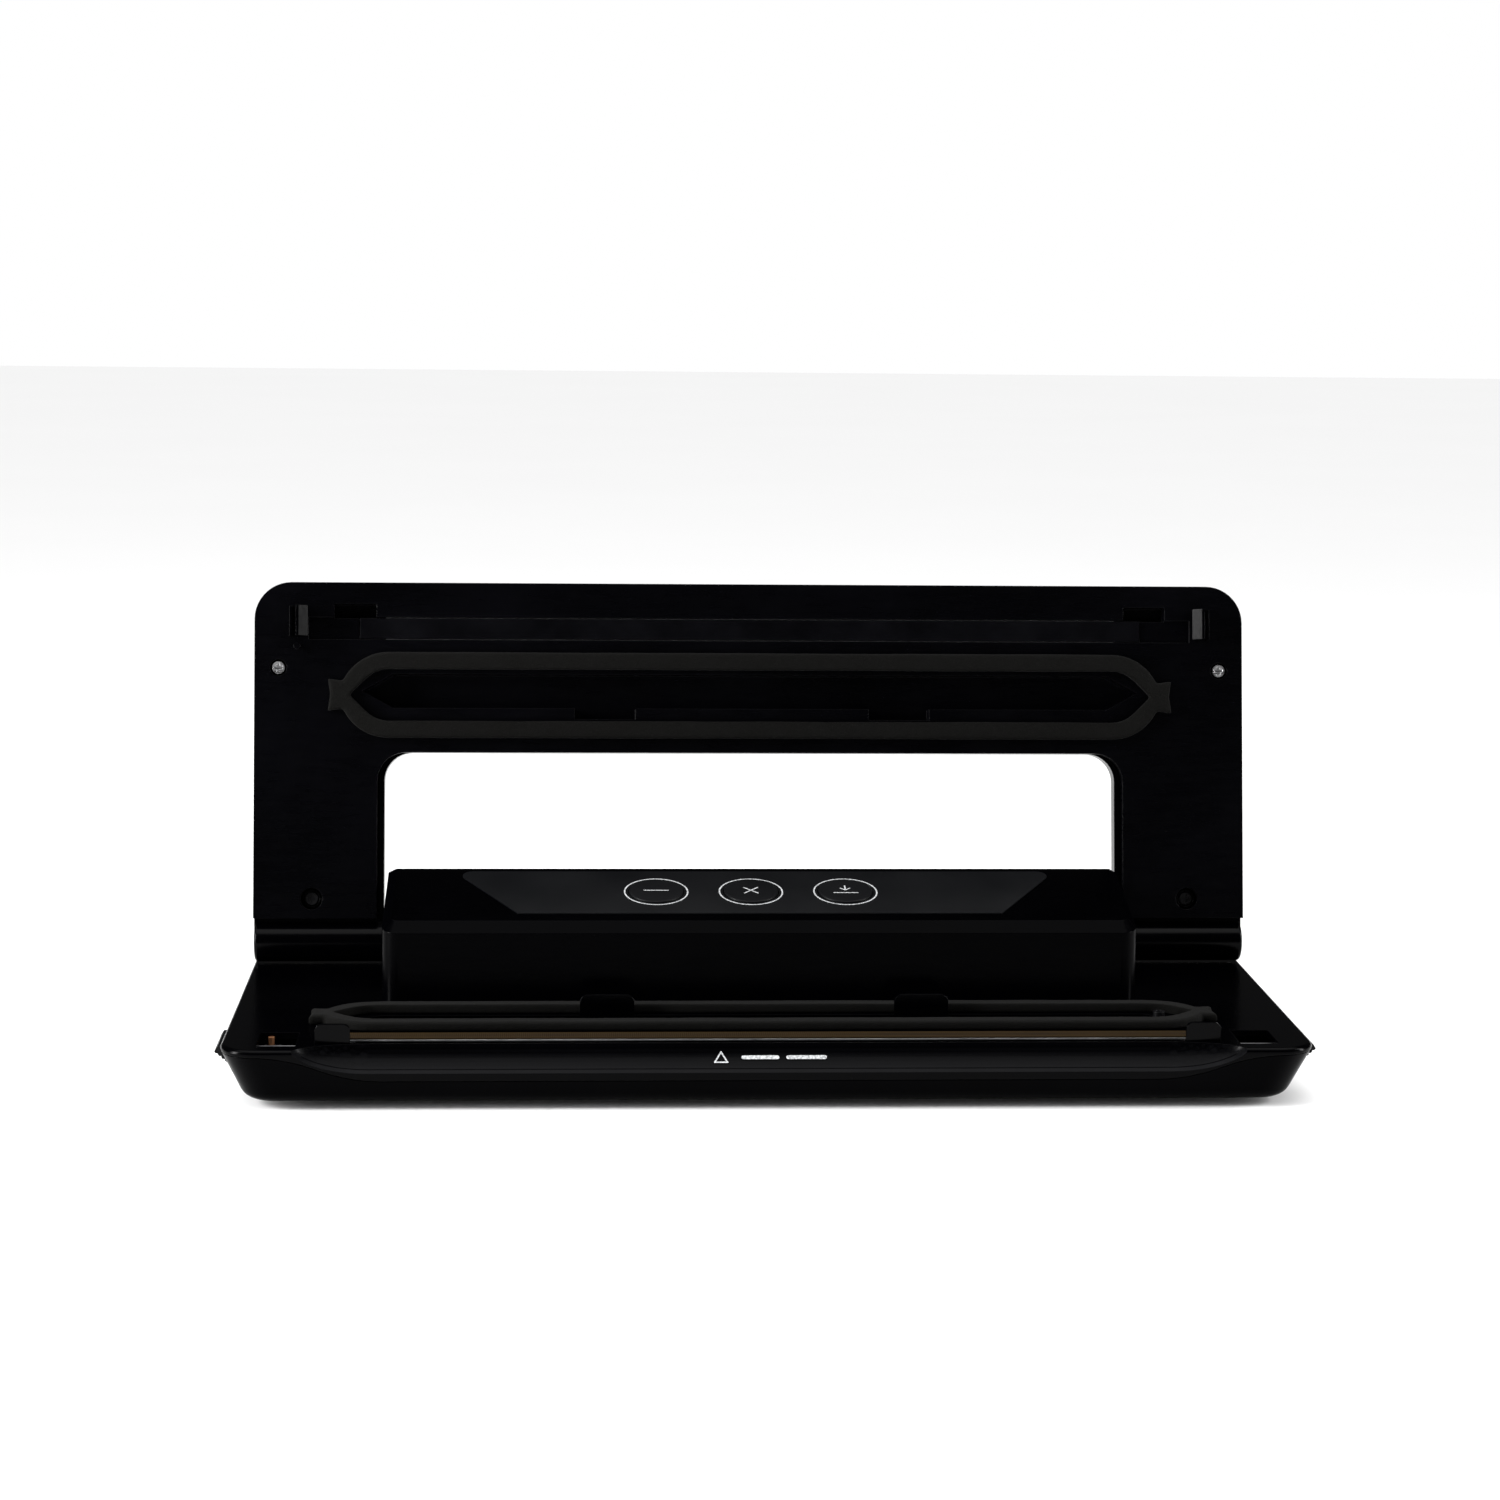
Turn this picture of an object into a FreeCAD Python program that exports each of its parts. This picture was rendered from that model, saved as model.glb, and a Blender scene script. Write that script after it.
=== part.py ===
import FreeCAD
import Part
import math
import os
import re
import Sketcher

# A tabletop vacuum packing machine with its lid open.
# Machine frame: +X to the right, +Y to the back, +Z up, floor at z = 0. While a piece is drawn,
# y = 0 is the hinge line; every piece is moved back by hinge_back, so that the origin ends under
# the middle of the whole machine. Lid pieces are drawn with the lid closed, about the hinge
# line, and are then turned back with the lid. Panel pieces are drawn flat, from the front edge
# of the sloping control panel, and are then tilted with it.

SIZES = {
    # overall
    "half_width": (195.0, "rim half width, base and lid"),
    "front_reach": (141.0, "hinge line to the front of the base rim"),
    "back_reach": (20.0, "hinge line to the back of the base rim"),
    "deck_height": (23.5, "floor to the top of the deck"),
    "foot_height": (2.5, "floor to the underside of the base"),
    "flare": (7.4, "how far the base walls lean out up to the parting line"),
    "corner_radius": (14.5, "corners of base and lid in plan"),
    "floor_radius": (6.5, "bottom edge of the base"),
    "rim_radius": (1.6, "top edge of the deck rim"),
    "shell": (2.2, "wall of the moulded shells"),
    "deck_thick": (2.5, "deck plate"),
    "parting_height": (20.8, "floor to the parting line at the ends"),
    "lip_parting_height": (11.2, "floor to the parting line under the front lip"),
    "lip_parting_inset": (46.0, "base side to the end of the low stretch of the parting line"),
    "lip_parting_run": (23.5, "length of each S bend of the parting line"),
    "parting_gap": (0.25, "shadow gap between the base shells"),
    "lip_radius": (13.0, "hollow of the front lip"),
    "lip_inset": (52.0, "base side to the end of the full front lip"),
    "lip_tip": (28.0, "length of each rounded end of the front lip"),
    # hinge and lid
    "hinge_rise": (8.5, "hinge line above the deck"),
    "open_angle": (101.05, "lid opening angle"),
    "lid_inset": (0.4, "front of the base to the free edge of the lid"),
    "lid_gap": (1.0, "deck to the lid face when closed"),
    "lid_thick": (12.0, "lid face to the top of the lid"),
    "tray_depth": (5.0, "depth of the inner lid tray"),
    "tray_plate": (2.4, "plate of the inner lid tray"),
    "lid_radius": (3.0, "top edge of the lid"),
    "arm_end": (9.0, "hinge line to the end of the inner lid tray"),
    "window_room": (5.3, "control housing to the side of the lid window"),
    "window_clear": (1.7, "control housing to the front of the lid window"),
    "window_radius": (11.0, "front corners of the lid window"),
    "window_step": (2.6, "side walls of the lid window, from tray to cover"),
    "barrel_radius": (7.9, "hinge barrel of the lid"),
    "barrel_inset": (0.3, "lid side to the end of the hinge barrel"),
    "barrel_round": (1.2, "outer end of the hinge barrel"),
    "pin_radius": (2.5, "hinge pin"),
    "pin_length": (22.0, "hinge pin"),
    "pin_play": (0.05, "radial running clearance of pins and shafts"),
    "bush_radius": (4.2, "outside of the hinge bushing"),
    "bush_length": (12.0, "hinge bushing"),
    "lug_length": (2.3, "hinge lug on the side of the control housing"),
    "lug_radius": (7.2, "hinge lug"),
    # vacuum chamber
    "gasket_inset": (27.7, "front of the base to the front of the gaskets"),
    "gasket_width": (33.8, "gaskets from front to back"),
    "gasket_band": (6.8, "width of the foam band"),
    "bend_inset": (12.1, "end of the gaskets to their bends"),
    "gasket_bend": (20.0, "outer bends of the gaskets"),
    "hole_inset": (18.7, "end of the gaskets to the bends of their opening"),
    "point_inset": (8.6, "end of the gaskets to the end of their opening"),
    "hole_bend": (13.0, "bends of the gasket opening"),
    "neck_inset": (5.8, "end of the gaskets to their neck"),
    "gasket_side": (28.7, "base side to the end of the gaskets"),
    "neck_half": (5.6, "half height of the gasket neck"),
    "tail_half": (6.4, "half height of the gasket tail"),
    "tail_notch": (0.9, "notch in the end of the gasket tail"),
    "gasket_rise": (3.5, "gasket above the surface that it is glued to"),
    "gasket_round": (1.1, "edges of the foam"),
    "trough_inset": (8.6, "front of the gaskets to the front wall of the trough"),
    "trough_rim": (9.1, "back of the gaskets to the back wall of the trough"),
    "trough_side": (25.3, "end of the gaskets to the end of the straight trough walls"),
    "trough_end": (13.3, "end of the gaskets to the end of the trough"),
    "trough_deep": (12.0, "deck underside to the trough floor"),
    "trough_wall": (1.6, "wall of the trough pan"),
    "recess_rim": (11.9, "back of the gaskets to the back wall of the lid recess"),
    "recess_deep": (8.6, "depth of the lid recess"),
    "stop_inner": (48.0, "middle to the inner edge of a bag stop"),
    "stop_outer": (68.0, "middle to the outer edge of a bag stop"),
    "stop_rise": (8.0, "bag stop above the deck"),
    "stop_thick": (1.5, "bag stop plate"),
    "stop_radius": (3.0, "top corners of a bag stop"),
    "stop_room": (2.0, "lid notch round a bag stop, at its sides"),
    "nozzle_inset": (20.8, "end of the gaskets to the air nozzle"),
    "nozzle_radius": (2.2, "air nozzle"),
    "nozzle_bore": (1.2, "air nozzle"),
    "nozzle_rise": (3.0, "air nozzle above the deck"),
    # sealing line
    "strip_inset": (41.0, "base side to the end of the sealing strip"),
    "strip_reach": (14.4, "front of the base to the front of the sealing strip"),
    "strip_width": (8.0, "sealing strip from front to back"),
    "strip_rise": (1.0, "sealing tape above the deck"),
    "strip_play": (0.4, "gap round the sealing strip"),
    "tape_thick": (0.3, "sealing tape"),
    "wire_width": (3.0, "heating wire"),
    "wire_thick": (0.3, "heating wire"),
    "bar_deep": (9.0, "height of the sealing bar"),
    "press_gap": (0.3, "pressure bar to sealing tape when closed"),
    "carrier_inset": (10.0, "end of the sealing strip to the end of the bar carrier"),
    "carrier_thick": (3.0, "pressure bar carrier"),
    "guide_inset": (4.5, "end of the sealing strip to the inner edge of a bag guide"),
    "guide_width": (12.5, "width of a bag guide"),
    "guide_reach": (10.9, "front of the base to the front of the bag guides"),
    "guide_thick": (1.6, "bag guide plate"),
    "guide_rise": (6.8, "bag guide above the deck"),
    "guide_radius": (2.5, "top corners of a bag guide"),
    "guide_room": (2.0, "lid pocket round a bag guide, at its ends"),
    "guide_gap": (2.0, "lid pocket in front of and behind a bag guide"),
    "groove_deep": (1.5, "groove in the deck before the sealing strip"),
    "end_room": (1.2, "depth of the lid pockets beyond the ends of the bar"),
    "end_inset": (2.0, "hook to the outer edge of these pockets"),
    # latches
    "hook_inset": (19.0, "base side to the inner face of a hook"),
    "hook_thick": (2.2, "hook plate"),
    "guard_gap": (1.8, "hook plate to the guard plate beside it"),
    "guard_thick": (1.2, "guard plate beside the hook"),
    "guard_reach": (4.0, "lid face to the edge of the guard plate"),
    "hook_ahead": (10.0, "front of the base to the front of the hooks"),
    "hook_width": (12.0, "hooks from front to back"),
    "hook_reach": (10.5, "lid face to the hook tip"),
    "barb": (2.3, "barb of the hook"),
    "barb_rise": (3.2, "hook tip to the shoulder of the barb"),
    "catch_gap": (0.3, "barb to catch when closed"),
    "catch_play": (0.5, "hook to the edges of the catch window"),
    "slider_thick": (2.0, "latch slider"),
    "slider_rail": (1.5, "rails beside the catch window"),
    "slider_inset": (8.0, "inner end of the slider to the hook"),
    "button_travel": (3.0, "travel of a release button"),
    "socket_inset": (7.5, "inner edge of a latch socket to the hook"),
    "socket_room": (1.0, "guard plate to the outer edge of a latch socket"),
    "socket_ahead": (3.0, "hook to the front of a latch socket"),
    "socket_behind": (5.0, "hook to the back of a latch socket"),
    "button_ahead": (16.0, "front of the base to the front of a release button"),
    "button_width": (25.0, "release button from front to back"),
    "button_play": (0.6, "gap round a release button"),
    "button_ridge": (3.0, "button ridge beyond the rim"),
    "button_depth": (6.5, "base side to the inner face of a release button"),
    "button_low": (14.2, "floor to the lower end of a release button"),
    "button_drop": (2.4, "deck top to the top of a release button"),
    "button_round": (0.6, "ridge of a release button"),
    "spring_radius": (2.3, "latch spring"),
    "spring_wire": (0.45, "radius of the latch spring wire"),
    "spring_length": (10.0, "latch spring at rest"),
    "plunger_radius": (1.2, "lid switch plunger"),
    "plunger_side": (2.4, "inner face of the hook to the lid switch plunger"),
    "plunger_behind": (3.5, "back of the hook to the lid switch plunger"),
    "plunger_low": (1.2, "deck to the top of the plunger at rest"),
    "plunger_travel": (1.2, "travel of the lid switch plunger"),
    # control housing
    "panel_inset": (53.3, "base side to the side of the control housing"),
    "panel_front": (72.3, "hinge line to the foot of the housing front"),
    "panel_lean": (1.2, "lean of the housing front"),
    "panel_rise": (30.3, "deck to the front edge of the panel"),
    "panel_slope": (12.5, "slope of the panel in degrees"),
    "panel_length": (51.9, "panel from front to back, along the slope"),
    "panel_tail": (17.0, "hinge line to the back wall of the housing"),
    "tail_rise": (22.5, "deck to the top of the housing back wall"),
    "panel_corner": (6.5, "upright front corners of the housing"),
    "panel_bevel": (3.4, "bevel round the panel"),
    "overlay_front": (9.2, "panel edge to the front of the overlay"),
    "overlay_back": (48.2, "panel edge to the back of the overlay"),
    "board_front": (20.0, "front of the panel to the control board"),
    "overlay_front_half": (91.0, "half width of the overlay in front"),
    "overlay_back_half": (116.0, "half width of the overlay at the back"),
    "overlay_thick": (0.5, "overlay film"),
    "overlay_radius": (4.0, "back corners of the overlay"),
    "key_place": (28.8, "panel edge to the key centres"),
    "key_shift": (-2.8, "middle key from the middle of the panel"),
    "key_pitch": (36.1, "key spacing"),
    "key_radius": (10.4, "key"),
    "key_gap": (0.3, "gap round a key"),
    "key_proud": (0.6, "key above the overlay"),
    "key_travel": (0.5, "key travel"),
    "switch_radius": (1.7, "tact switch button"),
    "board_deep": (7.0, "panel top to the control board"),
    "board_thick": (1.6, "circuit boards"),
    # pump
    "motor_radius": (15.0, "pump motor"),
    "motor_length": (46.0, "pump motor"),
    "motor_place": (-98.0, "middle to the far end of the motor"),
    "pump_reach": (30.0, "hinge line to the motor shaft, forward"),
    "motor_clear": (2.3, "inner floor to the motor"),
    "shaft_radius": (2.0, "motor shaft"),
    "shaft_length": (18.0, "motor shaft beyond the motor"),
    "throw": (1.0, "throw of the eccentric"),
    "eccentric_radius": (5.5, "eccentric"),
    "eccentric_thick": (5.0, "eccentric"),
    "eccentric_place": (11.0, "motor face to the eccentric"),
    "rod_radius": (9.0, "big end of the connecting rod"),
    "piston_radius": (9.0, "piston cup"),
    "piston_thick": (2.5, "piston cup"),
    "piston_rise": (15.0, "shaft to the underside of the piston cup"),
    "piston_room": (1.5, "piston cup to cylinder"),
    "cylinder_wall": (2.5, "pump cylinder"),
    "head_thick": (5.0, "pump cylinder head"),
    "hose_radius": (3.0, "suction hose"),
    "hose_bore": (1.6, "suction hose"),
    "hose_bend": (8.0, "suction hose bends"),
    "hose_height": (13.5, "floor to the hose at the trough"),
    "hose_lead": (17.5, "pump head to the rising part of the hose"),
    "valve_place": (112.0, "middle to the vent valve"),
    "valve_travel": (1.5, "travel of the vent valve plunger"),
    # fasteners, feet and inlet
    "screw_radius": (1.4, "screw shanks"),
    "head_radius": (2.4, "screw heads"),
    "head_high": (1.3, "screw heads"),
    "lid_screw_inset": (9.3, "base side to the front lid screws"),
    "lid_screw_behind": (33.5, "free edge of the lid to the front lid screws"),
    "lid_screw_hole": (3.3, "recess of the front lid screws"),
    "arm_screw_shift": (1.4, "middle of a lid arm to its screw, outward"),
    "arm_screw_reach": (16.7, "hinge line to the lid arm screws"),
    "arm_screw_hole": (4.25, "hole over the lid arm screws"),
    "post_radius": (3.4, "screw posts"),
    "foot_radius": (8.0, "rubber feet"),
    "foot_inset": (35.0, "base side to the feet"),
    "foot_behind": (29.0, "front of the base to the front feet"),
    "foot_back": (2.0, "hinge line to the back feet"),
    "foot_recess": (1.0, "how deep the feet sit in the base"),
    "boss_inset": (29.0, "base side to the base screws"),
    "boss_front": (78.0, "hinge line to the front base screws"),
    "boss_back": (30.0, "hinge line to the back base screws"),
    "boss_radius": (4.5, "base screw bosses"),
    "inlet_place": (100.0, "middle to the mains inlet"),
    "inlet_half": (12.0, "half width of the mains inlet"),
    "inlet_low": (29.0, "floor to the underside of the mains inlet"),
    "inlet_high": (43.0, "floor to the top of the mains inlet"),
    "inlet_deep": (15.0, "mains inlet behind its flange"),
    "flange": (2.0, "edge of the mains inlet flange"),
}

# Lengths worked out from the sizes above.
DERIVED = {
    "lip_parting_half": "half_width - lip_parting_inset",
    "lip_half": "half_width - lip_inset",
    "lid_reach": "front_reach - lid_inset",
    "window_half": "panel_half + window_room",
    "window_reach": "panel_front + window_clear",
    "gasket_front": "front_reach - gasket_inset",
    "gasket_back": "gasket_front - gasket_width",
    "gasket_tip": "half_width - gasket_side",
    "gasket_straight": "gasket_tip - bend_inset",
    "gasket_hole": "gasket_tip - hole_inset",
    "gasket_point": "gasket_tip - point_inset",
    "gasket_neck": "gasket_tip - neck_inset",
    "trough_front": "gasket_front - trough_inset",
    "trough_back": "gasket_back + trough_rim",
    "trough_half": "gasket_tip - trough_side",
    "trough_tip": "gasket_tip - trough_end",
    "recess_back": "gasket_back + recess_rim",
    "nozzle_place": "gasket_tip - nozzle_inset",
    "strip_half": "half_width - strip_inset",
    "strip_front": "front_reach - strip_reach",
    "strip_back": "strip_front - strip_width",
    "carrier_half": "strip_half - carrier_inset",
    "guide_inner": "strip_half - guide_inset",
    "guide_outer": "guide_inner + guide_width",
    "guide_front": "front_reach - guide_reach",
    "end_outer": "hook_inner - end_inset",
    "hook_inner": "half_width - hook_inset",
    "hook_front": "front_reach - hook_ahead",
    "hook_back": "hook_front - hook_width",
    "slider_inner": "hook_inner - slider_inset",
    "socket_inner": "hook_inner - socket_inset",
    "socket_outer": "guard_outer + socket_room",
    "socket_front": "hook_front + socket_ahead",
    "socket_back": "hook_back - socket_behind",
    "button_front": "front_reach - button_ahead",
    "button_back": "button_front - button_width",
    "button_root": "half_width - button_depth",
    "plunger_place": "hook_inner + plunger_side",
    "plunger_reach": "hook_back - plunger_behind",
    "lid_screw_place": "half_width - lid_screw_inset",
    "lid_screw_reach": "lid_reach - lid_screw_behind",
    "foot_place": "half_width - foot_inset",
    "foot_front": "front_reach - foot_behind",
    "boss_place": "half_width - boss_inset",
    "panel_half": "half_width - panel_inset",
    "arm_screw_place": "(window_half + half_width) / 2 + arm_screw_shift",
    "hinge_height": "deck_height + hinge_rise",
    "lid_face": "lid_gap - hinge_rise",
    "lid_top": "lid_face + lid_thick",
    "tray_top": "lid_face + tray_depth",
    "plate_top": "lid_face + tray_plate",
    "lid_lean": "open_angle - 90",
    "lid_behind": "lid_reach * sin(lid_lean) + lid_top * cos(lid_lean)",
    "hinge_back": "(front_reach - lid_behind) / 2",
    "deck_under": "deck_height - deck_thick",
    "gasket_middle": "(gasket_front + gasket_back) / 2",
    "trough_floor": "deck_under - trough_deep",
    "strip_top": "deck_height + strip_rise",
    "bar_top": "strip_top - tape_thick - wire_thick",
    "bar_under": "bar_top - bar_deep",
    "press_face": "strip_top + press_gap - hinge_height",
    "hook_outer": "hook_inner + hook_thick",
    "guard_inner": "hook_outer + guard_gap",
    "guard_outer": "guard_inner + guard_thick",
    "hook_tip": "lid_face - hook_reach",
    "shoulder": "hook_tip + barb_rise",
    "catch_low": "hinge_height + shoulder + catch_gap",
    "catch_top": "catch_low + slider_thick",
    "window_inner": "hook_inner - catch_play",
    "window_outer": "hook_outer + catch_play + button_travel",
    "panel_back": "panel_front - panel_lean - panel_length * cos(panel_slope)",
    "panel_top": "deck_height + panel_rise",
    "ridge_top": "panel_top + panel_length * sin(panel_slope)",
    "tail_top": "deck_height + tail_rise",
    "motor_face": "motor_place + motor_length",
    "rod_place": "motor_face + eccentric_place + eccentric_thick / 2",
    "shaft_height": "foot_height + shell + motor_clear + motor_radius",
    "piston_low": "shaft_height + piston_rise",
    "cylinder_bore": "piston_radius + piston_room",
    "head_low": "piston_low + piston_thick + throw + piston_room",
    "port_height": "head_low + head_thick / 2",
    "carrier_top": "plate_top + carrier_thick",
}

doc = FreeCAD.newDocument("VacuumPacker")
sheet = doc.addObject("Spreadsheet::Sheet", "Sizes")
nodes = []


def fill_sheet():
    """Write every size in the sheet, with its alias and what it means."""
    for row, (alias, (size, meaning)) in enumerate(SIZES.items(), start=1):
        sheet.set(f"A{row}", alias)
        sheet.set(f"B{row}", str(size))
        sheet.set(f"C{row}", meaning)
        sheet.setAlias(f"B{row}", alias)
    doc.recompute()


def cells(formula):
    """Turn the size names of a formula into references to the sheet."""
    def swap(found):
        word = found.group()
        if word in SIZES:
            return "Sizes." + word
        if word in DERIVED:
            return "(" + cells(DERIVED[word]) + ")"
        return word
    return re.sub(r"[a-z][a-z_]*", swap, str(formula))


def bind(thing, prop, formula):
    """Bind one property of an object to a formula of sizes."""
    thing.setExpression(prop, cells(formula))


def at(thing, x="0", y="0", z="0"):
    """Bind the place of an object."""
    for axis, formula in zip("xyz", (x, y, z)):
        if str(formula) != "0":
            bind(thing, "Placement.Base." + axis, formula)


# ---------------------------------------------------------------- shapes

def block(name, x, y, z):
    """A box between two planes along each axis."""
    box = doc.addObject("Part::Box", name)
    for prop, (low, high) in zip(("Length", "Width", "Height"), (x, y, z)):
        bind(box, prop, f"({high}) - ({low})")
    at(box, x[0], y[0], z[0])
    return box


TURN_TO = {
    "x": FreeCAD.Rotation(FreeCAD.Vector(0, 1, 0), 90),
    "y": FreeCAD.Rotation(FreeCAD.Vector(1, 0, 0), -90),
    "z": FreeCAD.Rotation(),
}


def rod(name, axis, start, length, radius):
    """A cylinder that runs along an axis from a start point."""
    round_bar = doc.addObject("Part::Cylinder", name)
    round_bar.Placement = FreeCAD.Placement(FreeCAD.Vector(), TURN_TO[axis])
    bind(round_bar, "Radius", radius)
    bind(round_bar, "Height", length)
    at(round_bar, *start)
    return round_bar


def cut(name, base, *tools):
    """The base without the tools."""
    result = doc.addObject("Part::Cut", name)
    result.Base = base
    result.Tool = tools[0] if len(tools) == 1 else join(name + "_tools", *tools)
    return result


def join(name, *pieces):
    """One solid of overlapping pieces."""
    result = doc.addObject("Part::MultiFuse", name)
    result.Shapes = list(pieces)
    result.Refine = True
    return result


def overlap(name, first, second):
    """What two solids share."""
    result = doc.addObject("Part::Common", name)
    result.Base = first
    result.Tool = second
    return result


def group(name, *pieces):
    """Several separate solids kept as one node."""
    result = doc.addObject("Part::Compound", name)
    result.Links = list(pieces)
    return result


def mirrored(name, source):
    """The same piece on the other side of the middle plane."""
    result = doc.addObject("Part::Mirroring", name)
    result.Source = source
    result.Normal = FreeCAD.Vector(1, 0, 0)
    return result


def both_sides(name, piece):
    """A piece and its mirror image as one group."""
    return group(name, piece, mirrored(name + "_other", piece))


PLANES = {"xy": "XY_Plane", "xz": "XZ_Plane", "yz": "YZ_Plane"}


def outline(name, plane, points, start, length):
    """A body: a closed outline on a plane, padded along the plane's normal."""
    body = doc.addObject("PartDesign::Body", name)
    sketch = body.newObject("Sketcher::SketchObject", name + "_outline")
    flat = [item for item in body.Origin.OriginFeatures if item.Role == PLANES[plane]]
    sketch.AttachmentSupport = [(flat[0], "")]
    sketch.MapMode = "FlatFace"
    bind(sketch, "AttachmentOffset.Base.z", start)
    count = len(points)
    for index in range(count):
        near, far = (2 * math.pi * step / count for step in (index, index + 1))
        first = FreeCAD.Vector(math.cos(near), math.sin(near), 0)
        second = FreeCAD.Vector(math.cos(far), math.sin(far), 0)
        sketch.addGeometry(Part.LineSegment(first, second), False)
    for index, point in enumerate(points):
        after = (index + 1) % count
        sketch.addConstraint(Sketcher.Constraint("Coincident", index, 2, after, 1))
        for kind, formula in zip(("DistanceX", "DistanceY"), point):
            rule = sketch.addConstraint(Sketcher.Constraint(kind, -1, 1, index, 1, 1.0))
            bind(sketch, f"Constraints[{rule}]", formula)
    pad = body.newObject("PartDesign::Pad", name + "_pad")
    pad.Profile = sketch
    bind(pad, "Length", length)
    return body


def solid_block(name, x, y, z):
    """A body that starts as a box, for rounding."""
    body = doc.addObject("PartDesign::Body", name)
    box = body.newObject("PartDesign::AdditiveBox", name + "_box")
    for prop, (low, high) in zip(("Length", "Width", "Height"), (x, y, z)):
        bind(box, prop, f"({high}) - ({low})")
    at(box, x[0], y[0], z[0])
    return body


def flared_block(name, low, high, inset):
    """A body whose four walls lean out as the base does, set in by a wall."""
    body = doc.addObject("PartDesign::Body", name)
    wedge = body.newObject("PartDesign::AdditiveWedge", name + "_wedge")
    wedge.Placement = FreeCAD.Placement(FreeCAD.Vector(), FreeCAD.Rotation(FreeCAD.Vector(1, 0, 0), 90))
    lean = "flare / (parting_height - foot_height)"
    for prefix, level in (("", low), ("2", high)):
        inward = f"({inset} + (parting_height - ({level})) * {lean})"
        bind(wedge, f"X{prefix}max", f"half_width - {inward}")
        bind(wedge, f"X{prefix}min", f"{inward} - half_width")
        bind(wedge, f"Z{prefix}max", f"front_reach - {inward}")
        bind(wedge, f"Z{prefix}min", f"{inward} - back_reach")
    bind(wedge, "Ymin", low)
    bind(wedge, "Ymax", high)
    return body


def dress(body, kind, wanted, prop, formula):
    """Round or bevel the wanted edges of a body."""
    doc.recompute()
    shape = body.Tip.Shape
    names = [f"Edge{place + 1}" for place, edge in enumerate(shape.Edges) if wanted(edge)]
    if not names:
        raise RuntimeError(f"{body.Name}: no edge to dress")
    feature = body.newObject("PartDesign::" + kind, f"{body.Name}_{kind}_{len(body.Group)}")
    feature.Base = (body.Group[-2], names)
    bind(feature, prop, formula)
    doc.recompute()
    return body


def round_off(body, wanted, radius):
    return dress(body, "Fillet", wanted, "Radius", radius)


def bevel(body, wanted, size):
    return dress(body, "Chamfer", wanted, "Size", size)


def ends(edge):
    return [vertex.Point for vertex in edge.Vertexes]


def upright(edge):
    """A straight edge that climbs more than it runs."""
    first, last = ends(edge)[0], ends(edge)[-1]
    rise = abs(last.z - first.z)
    return rise > 0.5 * (last - first).Length and rise > 0.5


def level_at(body, side):
    """Edges that lie in the highest or lowest plane of a body."""
    doc.recompute()
    heights = [vertex.Z for vertex in body.Shape.Vertexes]
    level = max(heights) if side == "top" else min(heights)
    return lambda edge: all(abs(point.z - level) < 1e-4 for point in ends(edge))


def tube_along(name, points, bend, outer, inner):
    """A tube along runs joined by tangent arcs, from points already worked out."""
    wires = []
    start = points[0]
    for corner, after in zip(points[1:-1], points[2:]):
        back = (start - corner).normalize()
        ahead = (after - corner).normalize()
        half = back.getAngle(ahead) / 2
        reach = bend / math.tan(half)
        middle = (back + ahead).normalize() * (bend / math.sin(half) - bend)
        near = corner + back * reach
        far = corner + ahead * reach
        wires.append(Part.LineSegment(start, near).toShape())
        wires.append(Part.Arc(near, corner + middle, far).toShape())
        start = far
    wires.append(Part.LineSegment(start, points[-1]).toShape())
    path = Part.Wire(wires)
    heading = points[1] - points[0]
    solids = [
        path.makePipeShell([Part.Wire(Part.makeCircle(radius, points[0], heading))], True, False)
        for radius in (outer, inner)
    ]
    hose = doc.addObject("Part::Feature", name)
    hose.Shape = solids[0].cut(solids[1])
    return hose


# ---------------------------------------------------------------- placing

def node(name, piece, frame="machine"):
    """Give a finished sub-part its name and its place in the machine."""
    piece.Label = name
    if frame == "lid":
        piece.Placement = FreeCAD.Placement(FreeCAD.Vector(), FreeCAD.Rotation(FreeCAD.Vector(1, 0, 0), 1))
        bind(piece, "Placement.Rotation.Angle", "-open_angle")
        at(piece, y="hinge_back", z="hinge_height")
    elif frame == "panel":
        piece.Placement = FreeCAD.Placement(FreeCAD.Vector(), FreeCAD.Rotation(FreeCAD.Vector(1, 0, 0), 1))
        bind(piece, "Placement.Rotation.Angle", "panel_slope")
        at(piece, y="hinge_back - panel_front + panel_lean", z="panel_top")
    else:
        at(piece, y="hinge_back")
    nodes.append(piece)
    return piece


def span(half):
    """A pair of planes either side of the middle."""
    return (f"-({half})", half)


def ahead(front, back):
    """Planes along y from distances in front of the hinge line."""
    return (f"-({front})", f"-({back})")


# ---------------------------------------------------------------- base

def base_form(name, inset, low, high):
    """The flared form of the base, with its rounded corners, set in by a wall."""
    form = flared_block(name, low, high, inset)
    round_off(form, upright, f"corner_radius - {inset}")
    return form


def below_parting(name, lower_by):
    """The room below the parting line, which dips under the front lip."""
    side = "half_width * 1.1"
    high = f"parting_height - {lower_by}"
    low = f"lip_parting_height - {lower_by}"
    ramp = "lip_parting_half + lip_parting_run"
    points = [
        (f"-({side})", "-deck_height"), (side, "-deck_height"), (side, high), (ramp, high),
        ("lip_parting_half", low), ("-lip_parting_half", low), (f"-({ramp})", high), (f"-({side})", high),
    ]
    dip = outline(name + "_front", "xz", points, "window_reach", "front_reach")
    round_off(dip, lambda edge: across_wall(edge) and inside_ramp(edge), "lip_parting_run * 2.4")
    rest = block(name + "_back", span(side), ("-window_reach", "back_reach * 2"), ("-deck_height", high))
    return join(name, dip, rest)


def across_wall(edge):
    """An edge that runs from front to back."""
    first, last = ends(edge)[0], ends(edge)[-1]
    return abs(last.y - first.y) > 0.99 * (last - first).Length and first != last


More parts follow.
